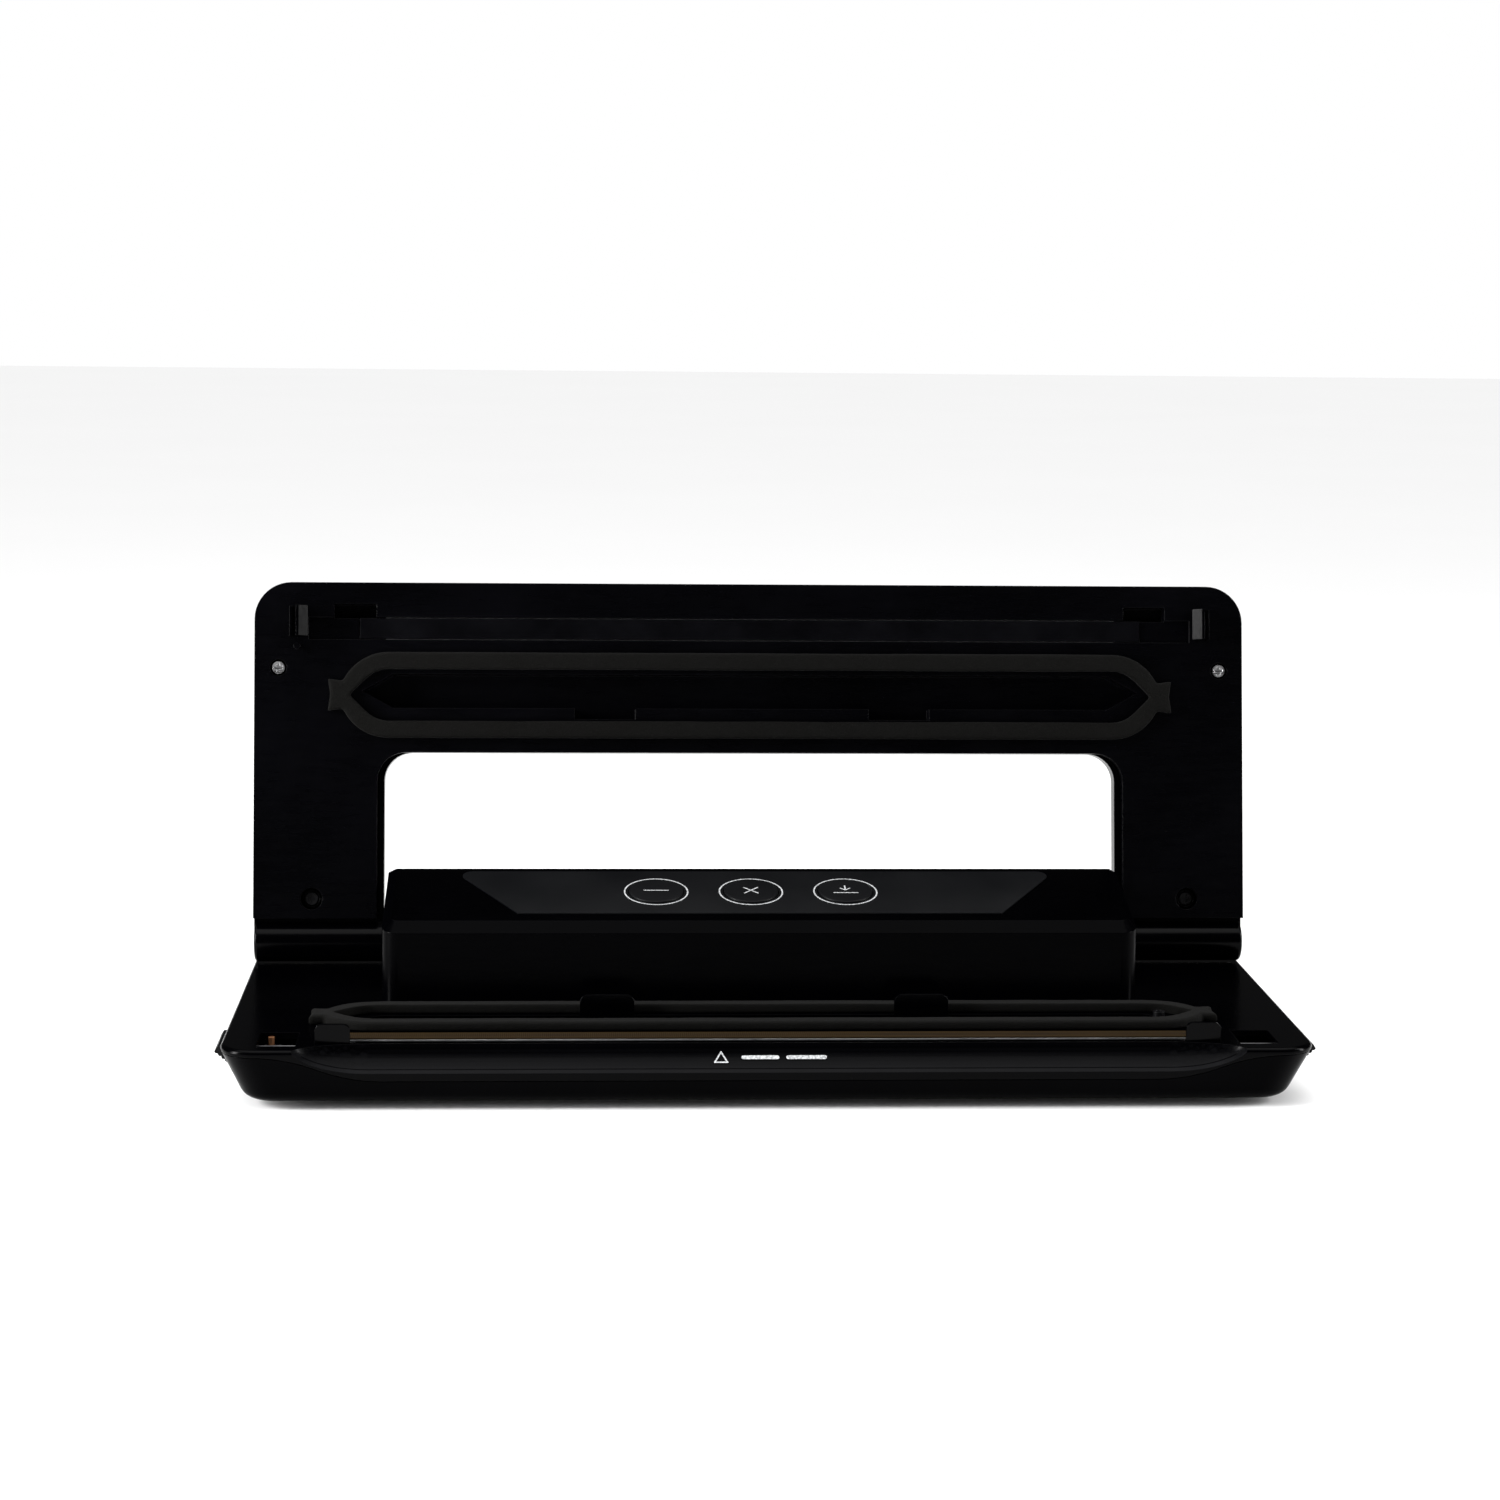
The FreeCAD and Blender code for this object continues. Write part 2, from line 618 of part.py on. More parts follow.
def inside_ramp(edge):
    """One of the four edges where the parting line bends."""
    return 0 < ends(edge)[0].z and abs(ends(edge)[0].x) < sheet.half_width * 0.99


def four_spots(across, front, back):
    """Four places, mirrored from side to side, at two distances from the hinge line."""
    return [(side, f"-{along}") for side in (f"-{across}", across) for along in (front, back)]


def base_screw_spots():
    """Where the four base screws are."""
    return four_spots("boss_place", "boss_front", "boss_back")


def button_room(name):
    """The notches for the release buttons in the rim."""
    along = ahead("button_front + button_play", "button_back - button_play")
    tall = ("button_low - button_play", "deck_height - button_drop + button_play")
    inner = "button_root - button_travel - button_play"
    return [
        block(name + "_right", (inner, "half_width * 1.1"), along, tall),
        block(name + "_left", ("-half_width * 1.1", f"-({inner})"), along, tall),
    ]


def mains_room(name, play):
    """The room that the mains inlet takes through the back wall of the housing."""
    return block(name, (f"inlet_place - inlet_half - {play}", f"inlet_place + inlet_half + {play}"),
                 (f"panel_tail - inlet_deep", "panel_tail * 2"),
                 (f"inlet_low - {play}", f"inlet_high + {play}"))


def lower_housing():
    """The tub that everything is built into."""
    outer = base_form("tub_outer", "0", "foot_height", "deck_height")
    round_off(outer, level_at(outer, "bottom"), "floor_radius")
    inner = base_form("tub_inner", "shell", "foot_height + shell", "deck_height * 1.1")
    round_off(inner, level_at(inner, "bottom"), "floor_radius - shell")
    walls = overlap("tub_walls", cut("tub_hollow", outer, inner), below_parting("tub_split", "0"))
    bosses = []
    bores = []
    for place, (side, along) in enumerate(base_screw_spots()):
        foot = (side, along, "foot_height")
        tall = "deck_under - foot_height - parting_gap"
        bosses.append(rod(f"tub_boss_{place}", "z", foot, tall, "boss_radius"))
        bores.append(rod(f"tub_bore_{place}", "z", foot, "deck_height", "screw_radius + pin_play"))
        bores.append(rod(f"tub_sink_{place}", "z", foot, "shell + head_high", "head_radius + pin_play * 4"))
    post_along = ("-strip_front", "spring_radius * 2 - (hook_front + hook_back) / 2")
    post_tall = ("foot_height", "catch_top + slider_thick / 2")
    post_end = "slider_inner - spring_length"
    bosses.append(block("tub_post_right", (f"{post_end} - shell", post_end), post_along, post_tall))
    bosses.append(block("tub_post_left", (f"-({post_end})", f"shell - ({post_end})"), post_along,
                        post_tall))
    for place, (side, along) in enumerate(foot_spots()):
        bores.append(rod(f"tub_foot_{place}", "z", (side, along, "0"), "foot_height + foot_recess",
                         "foot_radius + pin_play"))
    tub = cut("tub_bored", join("tub_with_bosses", walls, *bosses), *bores, *button_room("tub_button"))
    node("lower_housing", tub)


def front_lip():
    """The hollow lip along the front rim, with its rounded ends."""
    middle = "front_reach + lip_radius * 0.2"
    high = "deck_height + lip_radius * 0.223"
    straight = rod("lip_middle", "x", ("-lip_half", f"-({middle})", high), "lip_half * 2", "lip_radius")
    tip = doc.addObject("Part::Ellipsoid", "lip_tip")
    for prop, size in (("Radius1", "lip_tip"), ("Radius2", "lip_radius"), ("Radius3", "lip_radius")):
        bind(tip, prop, size)
    tip.Angle1 = 0
    tip.Angle2 = 90
    tip.Placement = FreeCAD.Placement(FreeCAD.Vector(), TURN_TO["x"])
    at(tip, "lip_half", f"-({middle})", high)
    return join("lip_cutter", straight, tip, mirrored("lip_tip_left", tip))


def diamond(name, half, tip, front, back, grow, start, length):
    """The long six-sided outline of the trough and the lid recess."""
    middle = f"-(({front}) + ({back})) / 2"
    points = [
        (f"-({half})", f"-({front}) - ({grow})"), (half, f"-({front}) - ({grow})"),
        (f"({tip}) + ({grow})", middle), (half, f"({grow}) - ({back})"),
        (f"-({half})", f"({grow}) - ({back})"), (f"-({tip}) - ({grow})", middle),
    ]
    return outline(name, "xy", points, start, length)


TROUGH_PLAN = ("trough_half", "trough_tip", "trough_front", "trough_back")
RECESS_PLAN = ("trough_half", "trough_tip", "trough_front", "recess_back")


def deck_cover():
    """The top of the base: the deck, its rim and the front lip."""
    outer = base_form("deck_outer", "0", "foot_height", "deck_height")
    round_off(outer, level_at(outer, "top"), "rim_radius")
    inner = base_form("deck_inner", "shell", "0", "deck_under")
    raised = cut("deck_above", cut("deck_hollow", outer, inner),
                 below_parting("deck_split", "-parting_gap"))
    lip_tall = ("lip_parting_height + parting_gap", "deck_height - groove_deep")
    lip_back = block("deck_lip_back", span("slider_inner - button_travel - catch_play"),
                     ahead("front_reach", "strip_front + strip_play * 3"), lip_tall)
    lip_ends = block("deck_lip_ends", span("socket_outer"),
                     ahead("front_reach", "hook_front + slider_rail + catch_play * 2"), lip_tall)
    lip_limit = base_form("deck_lip_limit", "(shell + parting_gap)", "0", "deck_height")
    shape = overlap("deck_lip_form", join("deck_lip_blank", lip_back, lip_ends), lip_limit)
    above = "deck_height * 1.2"
    through = ("0", above)
    holes = [
        front_lip(),
        diamond("deck_trough", *TROUGH_PLAN, "0", "0", above),
        block("deck_service", span("panel_half - shell * 3"),
              ahead("panel_front - shell * 3", "shell * 3 - panel_tail"), through),
        block("deck_strip", span("strip_half + strip_play"),
              ahead("strip_front + strip_play", "strip_back - strip_play"), through),
        block("deck_groove", span("guide_inner - guide_gap"),
              ahead("guide_front", "guide_front - guide_thick * 1.5"),
              ("deck_height - groove_deep", above)),
    ]
    for side in (("socket_inner", "socket_outer"), ("-socket_outer", "-socket_inner")):
        holes.append(block("deck_socket", side, ahead("socket_front", "socket_back"), through))
    deck = cut("deck_open", join("deck_with_lip", raised, shape), *holes, *button_room("deck_button"))
    node("deck_cover", deck)


def foot_spots():
    """Where the four feet are."""
    return four_spots("foot_place", "foot_front", "foot_back")


def rubber_feet():
    """Four rubber feet set into the base."""
    feet = []
    for place, (side, along) in enumerate(foot_spots()):
        foot = doc.addObject("PartDesign::Body", f"foot_{place}")
        disc = foot.newObject("PartDesign::AdditiveCylinder", f"foot_disc_{place}")
        bind(disc, "Radius", "foot_radius")
        bind(disc, "Height", "foot_height + foot_recess")
        at(disc, side, along)
        feet.append(round_off(foot, level_at(foot, "bottom"), "foot_recess"))
    node("rubber_feet", group("rubber_feet", *feet))


def worth(formula):
    """What a formula of sizes comes to."""
    return float(doc.getObject("Sizes").evalExpression(cells(formula)))


def bend_of(place):
    """The upright edges at a distance from the middle plane."""
    across = worth(place)
    return lambda edge: upright_short(edge) and abs(abs(ends(edge)[0].x) - across) < 1e-3


def around(middle, half):
    """Planes either side of a middle."""
    return (f"({middle}) - ({half})", f"({middle}) + {half}")


def screw(name, x, y, z, length):
    """A pan head screw that points up, with a cross recess in the underside of its head."""
    head = rod(name + "_head", "z", (x, y, z), "head_high", "head_radius")
    shank = rod(name + "_shank", "z", (x, y, f"({z}) + head_high"), length, "screw_radius")
    deep = (z, f"({z}) + head_high / 2")
    long, short = "head_radius * 0.7", "head_radius * 0.26"
    slots = [
        block(name + "_slot", around(x, wide), around(y, tall), deep)
        for wide, tall in ((long, short), (short, long))
    ]
    return cut(name, join(name + "_blank", head, shank), *slots)


def bottom_screws():
    """Four screws that hold the base shells together from below."""
    screws = [
        screw(f"bottom_screw_{place}", side, along, "foot_height + shell", "deck_height - foot_height * 4")
        for place, (side, along) in enumerate(base_screw_spots())
    ]
    node("bottom_screws", group("bottom_screws", *screws))


# ---------------------------------------------------------------- vacuum chamber

def foam_ring(name, start):
    """A foam gasket with a fish tail at each end."""
    middle = "-gasket_middle"

    def half_ring(front, back, reach, neck, tip):
        right = [("gasket_straight", f"-({front})"), (neck, f"{middle} - {reach}")]
        right += tip
        right += [(neck, f"{middle} + {reach}"), ("gasket_straight", f"-({back})")]
        left = [(f"-({x})", y) for x, y in reversed(right)]
        return left + right

    tail = [
        ("gasket_tip", f"{middle} - tail_half"), ("gasket_tip - tail_notch", middle),
        ("gasket_tip", f"{middle} + tail_half"),
    ]
    outer = outline(name + "_ring", "xy",
                    half_ring("gasket_front", "gasket_back", "neck_half", "gasket_neck", tail),
                    start, "gasket_rise")
    round_off(outer, bend_of("gasket_straight"), "gasket_bend")
    round_off(outer, level_at(outer, "top" if name == "lower_gasket" else "bottom"), "gasket_round")
    inner = diamond(name + "_hole", "gasket_hole", "gasket_point",
                    "gasket_front - gasket_band", "gasket_back + gasket_band", "0",
                    f"({start}) - gasket_rise", "gasket_rise * 3")
    round_off(inner, bend_of("gasket_hole"), "hole_bend")
    return cut(name, outer, inner)


def vacuum_trough():
    """The pan inside the lower gasket, hung under the deck."""
    outside = diamond("trough_outside", *TROUGH_PLAN, "trough_wall", "trough_floor - trough_wall",
                      "trough_deep + trough_wall")
    inside = diamond("trough_inside", *TROUGH_PLAN, "0", "trough_floor", "deck_height")
    flange = block("trough_flange", span("trough_tip + trough_wall * 2"),
                   ahead("trough_front + trough_wall * 3", "trough_back - trough_wall * 3"),
                   ("deck_under - trough_wall", "deck_under"))
    spigot = rod("trough_spigot_hole", "y", ("rod_place", "-trough_back - trough_wall", "hose_height"),
                 "trough_wall * 3", "hose_bore")
    node("vacuum_trough", cut("trough_pan", join("trough_blank", outside, flange), inside, spigot))


def bag_stops():
    """Two upright tongues that stop the bag at the back of the trough."""
    stop = solid_block("bag_stop", ("stop_inner", "stop_outer"),
                       ("-trough_back - stop_thick", "-trough_back"),
                       ("trough_floor", "deck_height + stop_rise"))
    round_off(stop, lambda edge: across_wall(edge) and ends(edge)[0].z > sheet.deck_height, "stop_radius")
    node("bag_stops", both_sides("bag_stops", stop))


def bag_guides():
    """Two thin tongues at the ends of the sealing strip."""
    guide = solid_block("bag_guide", ("guide_inner", "guide_outer"),
                        ahead("guide_front", "guide_front - guide_thick"),
                        ("deck_height", "deck_height + guide_rise"))
    round_off(guide, lambda edge: across_wall(edge) and ends(edge)[0].z > sheet.deck_height + 1,
              "guide_radius")
    node("bag_guides", both_sides("bag_guides", guide))


def sealing_strip():
    """The sealing bar, its heating wire and the tape over it."""
    bar = block("bar_core", span("strip_half"), ahead("strip_front", "strip_back"),
                ("bar_under", "bar_top"))
    node("seal_bar", group("seal_bar", bar))
    wire = block("wire_strip", span("strip_half"),
                 ("-(strip_front + strip_back + wire_width) / 2",
                  "(wire_width - strip_front - strip_back) / 2"),
                 ("bar_top", "bar_top + wire_thick"))
    node("heating_wire", group("heating_wire", wire))
    sheet_over = block("tape_over", span("strip_half"), ahead("strip_front", "strip_back"),
                       ("bar_top", "strip_top"))
    under = block("tape_under", span("half_width"),
                  ("-(strip_front + strip_back + wire_width) / 2",
                   "(wire_width - strip_front - strip_back) / 2"),
                  ("bar_top - 1", "bar_top + wire_thick"))
    tape = solid_tape(sheet_over, under)
    node("seal_tape", tape)


def solid_tape(over, under):
    """The tape lies on the bar beside the wire and bridges the wire."""
    return cut("seal_tape", over, under)


def air_inlet_nozzle():
    """The short upright pipe in the right end of the trough."""
    spot = ("nozzle_place", "-gasket_middle", "trough_floor")
    pipe = rod("nozzle_pipe", "z", spot, "deck_height + nozzle_rise - trough_floor", "nozzle_radius")
    bore = rod("nozzle_hole", "z", spot, "deck_height", "nozzle_bore")
    node("air_inlet_nozzle", cut("air_inlet_nozzle", pipe, bore))


def chamber():
    """Everything between the trough and the sealing strip."""
    vacuum_trough()
    node("lower_gasket", foam_ring("lower_gasket", "deck_height"))
    bag_stops()
    bag_guides()
    sealing_strip()
    air_inlet_nozzle()


# ---------------------------------------------------------------- control housing

def housing_profile(name, inset, low):
    """The side profile of the control housing, set in by a wall."""
    front = f"-panel_front + {inset}"
    slope_drop = f"{inset} / cos(panel_slope)"
    points = [
        (front, low),
        (f"{front} + panel_lean", f"panel_top + {inset} * tan(panel_slope) - {slope_drop}"),
        ("-panel_back", f"ridge_top - {slope_drop}"),
        (f"panel_tail - {inset}", f"tail_top - {inset}"),
        (f"panel_tail - {inset}", low),
    ]
    form = outline(name, "yz", points, f"-panel_half + {inset}", f"(panel_half - {inset}) * 2")
    round_off(form, lambda edge: upright(edge) and ends(edge)[0].y < -sheet.panel_front / 2,
              f"panel_corner - {inset}")
    round_off(form, lambda edge: upright(edge) and ends(edge)[0].y > 0, f"panel_corner - {inset}")
    return form


def panel_rim(edge):
    """An edge of the sloping panel, but for the ridge behind it."""
    slope = math.tan(math.radians(sheet.panel_slope))
    middle = edge.valueAt((edge.FirstParameter + edge.LastParameter) / 2)
    start, middle_rise = ends(edge)[0], middle.z - ends(edge)[0].z
    on_slope = abs(middle_rise - (middle.y - start.y) * slope) < 1e-3 and start.z > sheet.deck_height * 1.5
    ridge = all(point.y > -sheet.panel_front / 2 for point in ends(edge))
    return on_slope and not ridge and not upright(edge)


def control_housing():
    """The box behind the chamber that carries the controls and the hinges."""
    outside = housing_profile("housing_outside", "0", "deck_height")
    bevel(outside, panel_rim, "panel_bevel")
    inside = housing_profile("housing_inside", "shell", "deck_height - 1")
    bevel(inside, panel_rim, "panel_bevel")
    lugs = [
        rod(f"housing_lug_{side}", "x", (start, "0", "hinge_height"), "lug_length + shell * 2",
            "lug_radius")
        for side, start in (("right", "panel_half - shell * 2"), ("left", "-panel_half - lug_length"))
    ]
    pins = rod("housing_pin_hole", "x", ("-half_width", "0", "hinge_height"), "half_width * 2",
               "pin_radius + pin_play")
    key_holes = [key_hole(place) for place in (-1, 0, 1)]
    shell = join("housing_blank", cut("housing_hollow", outside, inside), *lugs)
    node("control_housing",
         cut("housing_open", shell, pins, mains_room("housing_inlet", "pin_play"), *key_holes))


def key_hole(place):
    """The round hole through the panel under one key."""
    hole = rod(f"housing_key_{place}", "z", ("0", "0", "0"), "shell * 4", "key_radius + key_gap")
    hole.Placement = FreeCAD.Placement(FreeCAD.Vector(), FreeCAD.Rotation(FreeCAD.Vector(1, 0, 0), 1))
    bind(hole, "Placement.Rotation.Angle", "panel_slope")
    across = f"key_shift + key_pitch * {place}"
    below = "key_place * cos(panel_slope) + shell * 2 * sin(panel_slope)"
    at(hole, across, f"-panel_front + panel_lean + {below}",
       "panel_top + key_place * sin(panel_slope) - shell * 2 * cos(panel_slope)")
    return hole


def control_overlay():
    """The film on the panel, with a round opening for each key."""
    points = [
        ("-overlay_front_half", "overlay_front"), ("overlay_front_half", "overlay_front"),
        ("overlay_back_half", "overlay_back"), ("-overlay_back_half", "overlay_back"),
    ]
    film = outline("overlay_film", "xy", points, "0", "overlay_thick")
    round_off(film, lambda edge: upright_short(edge) and ends(edge)[0].y > sheet.key_place,
              "overlay_radius")
    openings = [
        rod(f"overlay_key_{place}", "z", (f"key_shift + key_pitch * {place}", "key_place", "-1"), "4",
            "key_radius + key_gap")
        for place in (-1, 0, 1)
    ]
    node("control_overlay", cut("control_overlay", film, *openings), "panel")


def upright_short(edge):
    """A straight upright edge of a thin sheet."""
    first, last = ends(edge)[0], ends(edge)[-1]
    return abs(last.z - first.z) > 0.99 * (last - first).Length and first != last


def keys():
    """Three round keys, the tact switches under them and the control board."""
    board_top = "-board_deep"
    switches = []
    for place, label in ((-1, "key_seal"), (0, "key_cancel"), (1, "key_vacuum")):
        spot = (f"key_shift + key_pitch * {place}", "key_place")
        cap = doc.addObject("PartDesign::Body", label + "_cap")
        disc = cap.newObject("PartDesign::AdditiveCylinder", label + "_disc")
        bind(disc, "Radius", "key_radius")
        bind(disc, "Height", "key_proud + overlay_thick + shell")
        at(disc, *spot, "-shell")
        round_off(cap, level_at(cap, "top"), "key_travel * 0.8")
        stem = rod(label + "_stem", "z", (*spot, f"{board_top} + board_thick * 2 + key_travel"),
                   "board_deep - shell - board_thick * 2 - key_travel + 0.1", "switch_radius")
        node(label, join(label, cap, stem), "panel")
        body = rod(f"switch_{place}", "z", (*spot, board_top), "board_thick * 2", "switch_radius * 1.8")
        switches.append(body)
    node("tact_switches", group("tact_switches", *switches), "panel")
    board = block("board_plate", span("overlay_front_half * 0.8"), ("board_front", "overlay_back"),
                  (f"{board_top} - board_thick", board_top))
    node("control_board", group("control_board", board), "panel")


# ---------------------------------------------------------------- lid

def lid_form(name, inset, low, high, end):
    """The outline of the lid between two heights, set in by a wall, without its window."""
    form = solid_block(name, span(f"half_width - {inset}"),
                       (f"-lid_reach + {inset}", f"-({end}) - {inset}"), (low, high))
    return round_off(form, lambda edge: upright_short(edge) and ends(edge)[0].y < -worth("lid_reach") / 2,
                     f"corner_radius - {inset}")


def lid_window(name, grow, step="0"):
    """The opening in the lid that the control housing stands in, narrower by a step at each side."""
    form = solid_block(name, span(f"window_half - {step} + {grow}"),
                       (f"-window_reach - {grow}", "window_reach"),
                       ("lid_face - lid_thick", "lid_top * 2"))
    return round_off(form, lambda edge: upright_short(edge) and ends(edge)[0].y < 0,
                     f"window_radius + {grow}")


def screw_spots():
    """Where the four lid screws are: place, reach and how deep the head sits."""
    spots = []
    for side in ("", "-"):
        spots.append((side + "lid_screw_place", "-lid_screw_reach", "lid_face + tray_plate * 0.75"))
        spots.append((side + "arm_screw_place", "-arm_screw_reach", "plate_top"))
    return spots


def hook_slots():
    """The slots in the tray that the hooks come through."""
    along = ahead("hook_front", "hook_back")
    tall = ("lid_face - 1", "plate_top + 0.1")
    return [
        block("tray_hook_slot", side, along, tall)
        for side in (("hook_inner", "hook_outer"), ("-hook_outer", "-hook_inner"),
                     ("guard_inner", "guard_outer"), ("-guard_outer", "-guard_inner"))
    ]


def lid_inner_panel():
    """The inner tray of the lid: face plate, recess, pockets and window rim."""
    body = lid_form("tray_outer", "0", "lid_face", "tray_top", "arm_end")
    hollow = cut("tray_hollow", lid_form("tray_inner", "shell", "plate_top", "lid_top * 2", "arm_end"),
                 lid_window("tray_window_wall", "shell"))
    pan = diamond("tray_pan", *RECESS_PLAN, "trough_wall", "lid_face", "recess_deep + 1")
    pan_steps = [
        block("tray_pan_step", (low, high), ahead("trough_front", "trough_back - trough_wall * 2"),
              ("lid_face", "lid_face + recess_deep + 1"))
        for low, high in step_spans("stop_room + trough_wall")
    ]
    pocket_walls = [
        block("tray_pocket_wall", (low, high),
              ahead("guide_front + guide_gap * 3", "guide_front - guide_thick - guide_gap"),
              ("lid_face", "lid_face + guide_rise + 1"))
        for low, high in guide_spans("guide_room + trough_wall / 2")
    ]
    filled = join("tray_filled", cut("tray_shell", body, hollow), pan, *pan_steps, *pocket_walls)
    tools = [lid_window("tray_window", "0")]
    tools.append(diamond("tray_recess", *RECESS_PLAN, "0", "lid_face - 1", "recess_deep + 1"))
    for low, high in step_spans("stop_room"):
        tools.append(block("tray_step", (low, high), ahead("trough_front - 1", "trough_back - stop_thick"),
                           ("lid_face - 1", "lid_face + recess_deep")))
    for low, high in guide_spans("guide_room"):
        tools.append(block("tray_pocket", (low, high),
                           ahead("guide_front + guide_gap", "guide_front - guide_thick - guide_gap"),
                           ("lid_face - 1", "lid_face + guide_rise")))
    tools.append(block("tray_bar_slot", span("strip_half + strip_play"),
                       ahead("strip_front + strip_play", "strip_back - strip_play"),
                       ("lid_face - 1", "plate_top")))
    for side in (("strip_half + strip_play / 2", "end_outer"),
                 ("-end_outer", "-strip_half - strip_play / 2")):
        tools.append(block("tray_end_room", side,
                           ahead("strip_front + strip_play", "strip_back - strip_play"),
                           ("lid_face - 1", "lid_face + end_room")))
    for place, (x, y, level) in enumerate(screw_spots()):
        wide = "lid_screw_hole" if "lid_screw" in x else "arm_screw_hole"
        tools.append(rod(f"tray_head_{place}", "z", (x, y, "lid_face - 1"), f"{level} - lid_face + 1",
                         wide))
        tools.append(rod(f"tray_shank_{place}", "z", (x, y, "lid_face - 1"), "tray_plate + 2",
                         "screw_radius + pin_play"))
    tray = cut("tray_cut", filled, *tools, *hook_slots())
    peg = rod("switch_peg", "z",
              ("-plunger_place", "-plunger_reach", "lid_face - tray_plate - plunger_low / 2"),
              "tray_plate + plunger_low / 2 + 0.5", "plunger_radius")
    node("lid_inner_panel", join("lid_inner_panel", tray, peg), "lid")


def step_spans(grow):
    """The two spans of the lid notches round the bag stops."""
    return [
        (f"stop_inner - ({grow})", f"stop_outer + {grow}"),
        (f"-stop_outer - ({grow})", f"-stop_inner + {grow}"),
    ]


def guide_spans(grow):
    """The two spans of the lid pockets round the bag guides."""
    return [
        (f"guide_inner - ({grow})", f"guide_outer + {grow}"),
        (f"-guide_outer - ({grow})", f"-guide_inner + {grow}"),
    ]


def lid_outer_cover():
    """The top shell of the lid with its hinge barrels and screw posts."""
    outside = lid_form("cover_outer", "0", "tray_top", "lid_top", "0")
    round_off(outside, level_at(outside, "top"), "lid_radius")
    inside = cut("cover_room",
                 lid_form("cover_inner", "shell", "tray_top - 1", "lid_top - shell", "arm_end"),
                 lid_window("cover_window_wall", "shell", "window_step"))
    pieces = [cut("cover_shell", outside, inside)]
    for side in (1, -1):
        barrel = solid_barrel(side)
        pieces.append(barrel)
    for x, y, level in screw_spots():
        pieces.append(rod("cover_post", "z", (x, y, "plate_top"), "lid_top - plate_top - shell / 2",
                          "post_radius"))
    tools = [lid_window("cover_window", "0", "window_step")]
    tools.append(rod("cover_bush_bore", "x", ("-half_width + barrel_inset * 4", "0", "0"),
                     "(half_width - barrel_inset * 4) * 2", "bush_radius + pin_play"))
    for x, y, level in screw_spots():
        tools.append(rod("cover_screw_bore", "z", (x, y, "plate_top - 1"), "lid_thick - tray_plate - shell",
                         "screw_radius + pin_play"))
        if "arm_screw" in x:
            tools.append(rod("cover_head_room", "z", (x, y, "plate_top - 1"), "1 + head_high",
                             "post_radius * 0.9"))
    node("lid_outer_cover", cut("lid_outer_cover", join("cover_blank", *pieces), *tools), "lid")


def solid_barrel(side):
    """One rounded hinge barrel."""
    body = doc.addObject("PartDesign::Body", "barrel_right" if side > 0 else "barrel_left")
    drum = body.newObject("PartDesign::AdditiveCylinder", body.Name + "_drum")
    drum.Placement = FreeCAD.Placement(FreeCAD.Vector(), TURN_TO["x"])
    bind(drum, "Radius", "barrel_radius")
    bind(drum, "Height", "half_width - barrel_inset - window_half + window_step")
    start = "window_half - window_step" if side > 0 else "barrel_inset - half_width"
    at(drum, start)
    reach = worth("window_half") + 1
    return round_off(body, lambda edge: all(abs(point.x) > reach for point in ends(edge)), "barrel_round")


def pressure_bar():
    """The silicone bar that presses the bag on the sealing strip, and its carrier."""
    bar = solid_block("press_bar", span("strip_half"), ahead("strip_front", "strip_back"),
                      ("press_face", "plate_top"))
    node("pressure_bar", bar, "lid")
    carrier = block("press_carrier", span("carrier_half"),
                    ahead("strip_front + strip_play", "strip_back - strip_play"),
                    ("plate_top", "carrier_top"))
    node("pressure_bar_holder", group("pressure_bar_holder", carrier), "lid")


def latch_hooks():
    """The two lid hooks with inward barbs, each with a short guard plate beside it."""
    points = [
        ("hook_outer", "plate_top"), ("hook_outer", "hook_tip"), ("hook_inner + barb / 2", "hook_tip"),
        ("hook_inner - barb", "shoulder - barb / 4"), ("hook_inner - barb", "shoulder"),
        ("hook_inner", "shoulder"), ("hook_inner", "plate_top"),
    ]
    plate = outline("hook_plate", "xz", points, "hook_back", "hook_front - hook_back")
    guard = solid_block("hook_guard", ("guard_inner", "guard_outer"), ahead("hook_front", "hook_back"),
                        ("lid_face - guard_reach", "plate_top"))
    foot = block("hook_foot", ("hook_inner - barb", "guard_outer + barb / 2"),
                 ahead("hook_front", "hook_back"),
                 ("plate_top", "plate_top + hook_thick"))
    hook = join("hook_form", plate, guard, foot)
    node("right_latch_hook", group("right_latch_hook", hook), "lid")
    node("left_latch_hook", group("left_latch_hook", mirrored("hook_mirror", hook)), "lid")


def lid_screws():
    """Four lid screws: two in shallow recesses and two deep in the arms."""
    length = "lid_thick - tray_plate * 2 - shell - head_high"
    front, deep = [], []
    for place, (x, y, level) in enumerate(screw_spots()):
        if "lid_screw" in x:
            front.append(screw(f"lid_screw_{place}", x, y, f"{level} - head_high", length))
        else:
            deep.append(screw(f"lid_screw_{place}", x, y, "plate_top", length))
    node("lid_screws", group("lid_screws", *front), "lid")
    node("lid_arm_screws", group("lid_arm_screws", *deep), "lid")


def hinge():
    """Hinge pins in the lugs and bushings in the lid barrels."""
    pins = rod("pin_form", "x", ("panel_half - shell", "0", "hinge_height"), "pin_length", "pin_radius")
    node("right_hinge_pin", group("right_hinge_pin", pins))
    node("left_hinge_pin", group("left_hinge_pin", mirrored("pin_mirror", pins)))
    start = ("window_half - window_step + barrel_inset", "0", "0")
    bush = cut("bush_form", rod("bush_body", "x", start, "bush_length", "bush_radius"),
               rod("bush_bore", "x", start, "bush_length", "pin_radius + pin_play"))
    node("hinge_bushings", both_sides("hinge_bushings", bush), "lid")


def lid():
    """Everything that swings with the lid."""
    lid_outer_cover()
    lid_inner_panel()
    node("upper_gasket", foam_ring("upper_gasket", "lid_face - gasket_rise"), "lid")
    pressure_bar()
    latch_hooks()
    lid_screws()
    hinge()


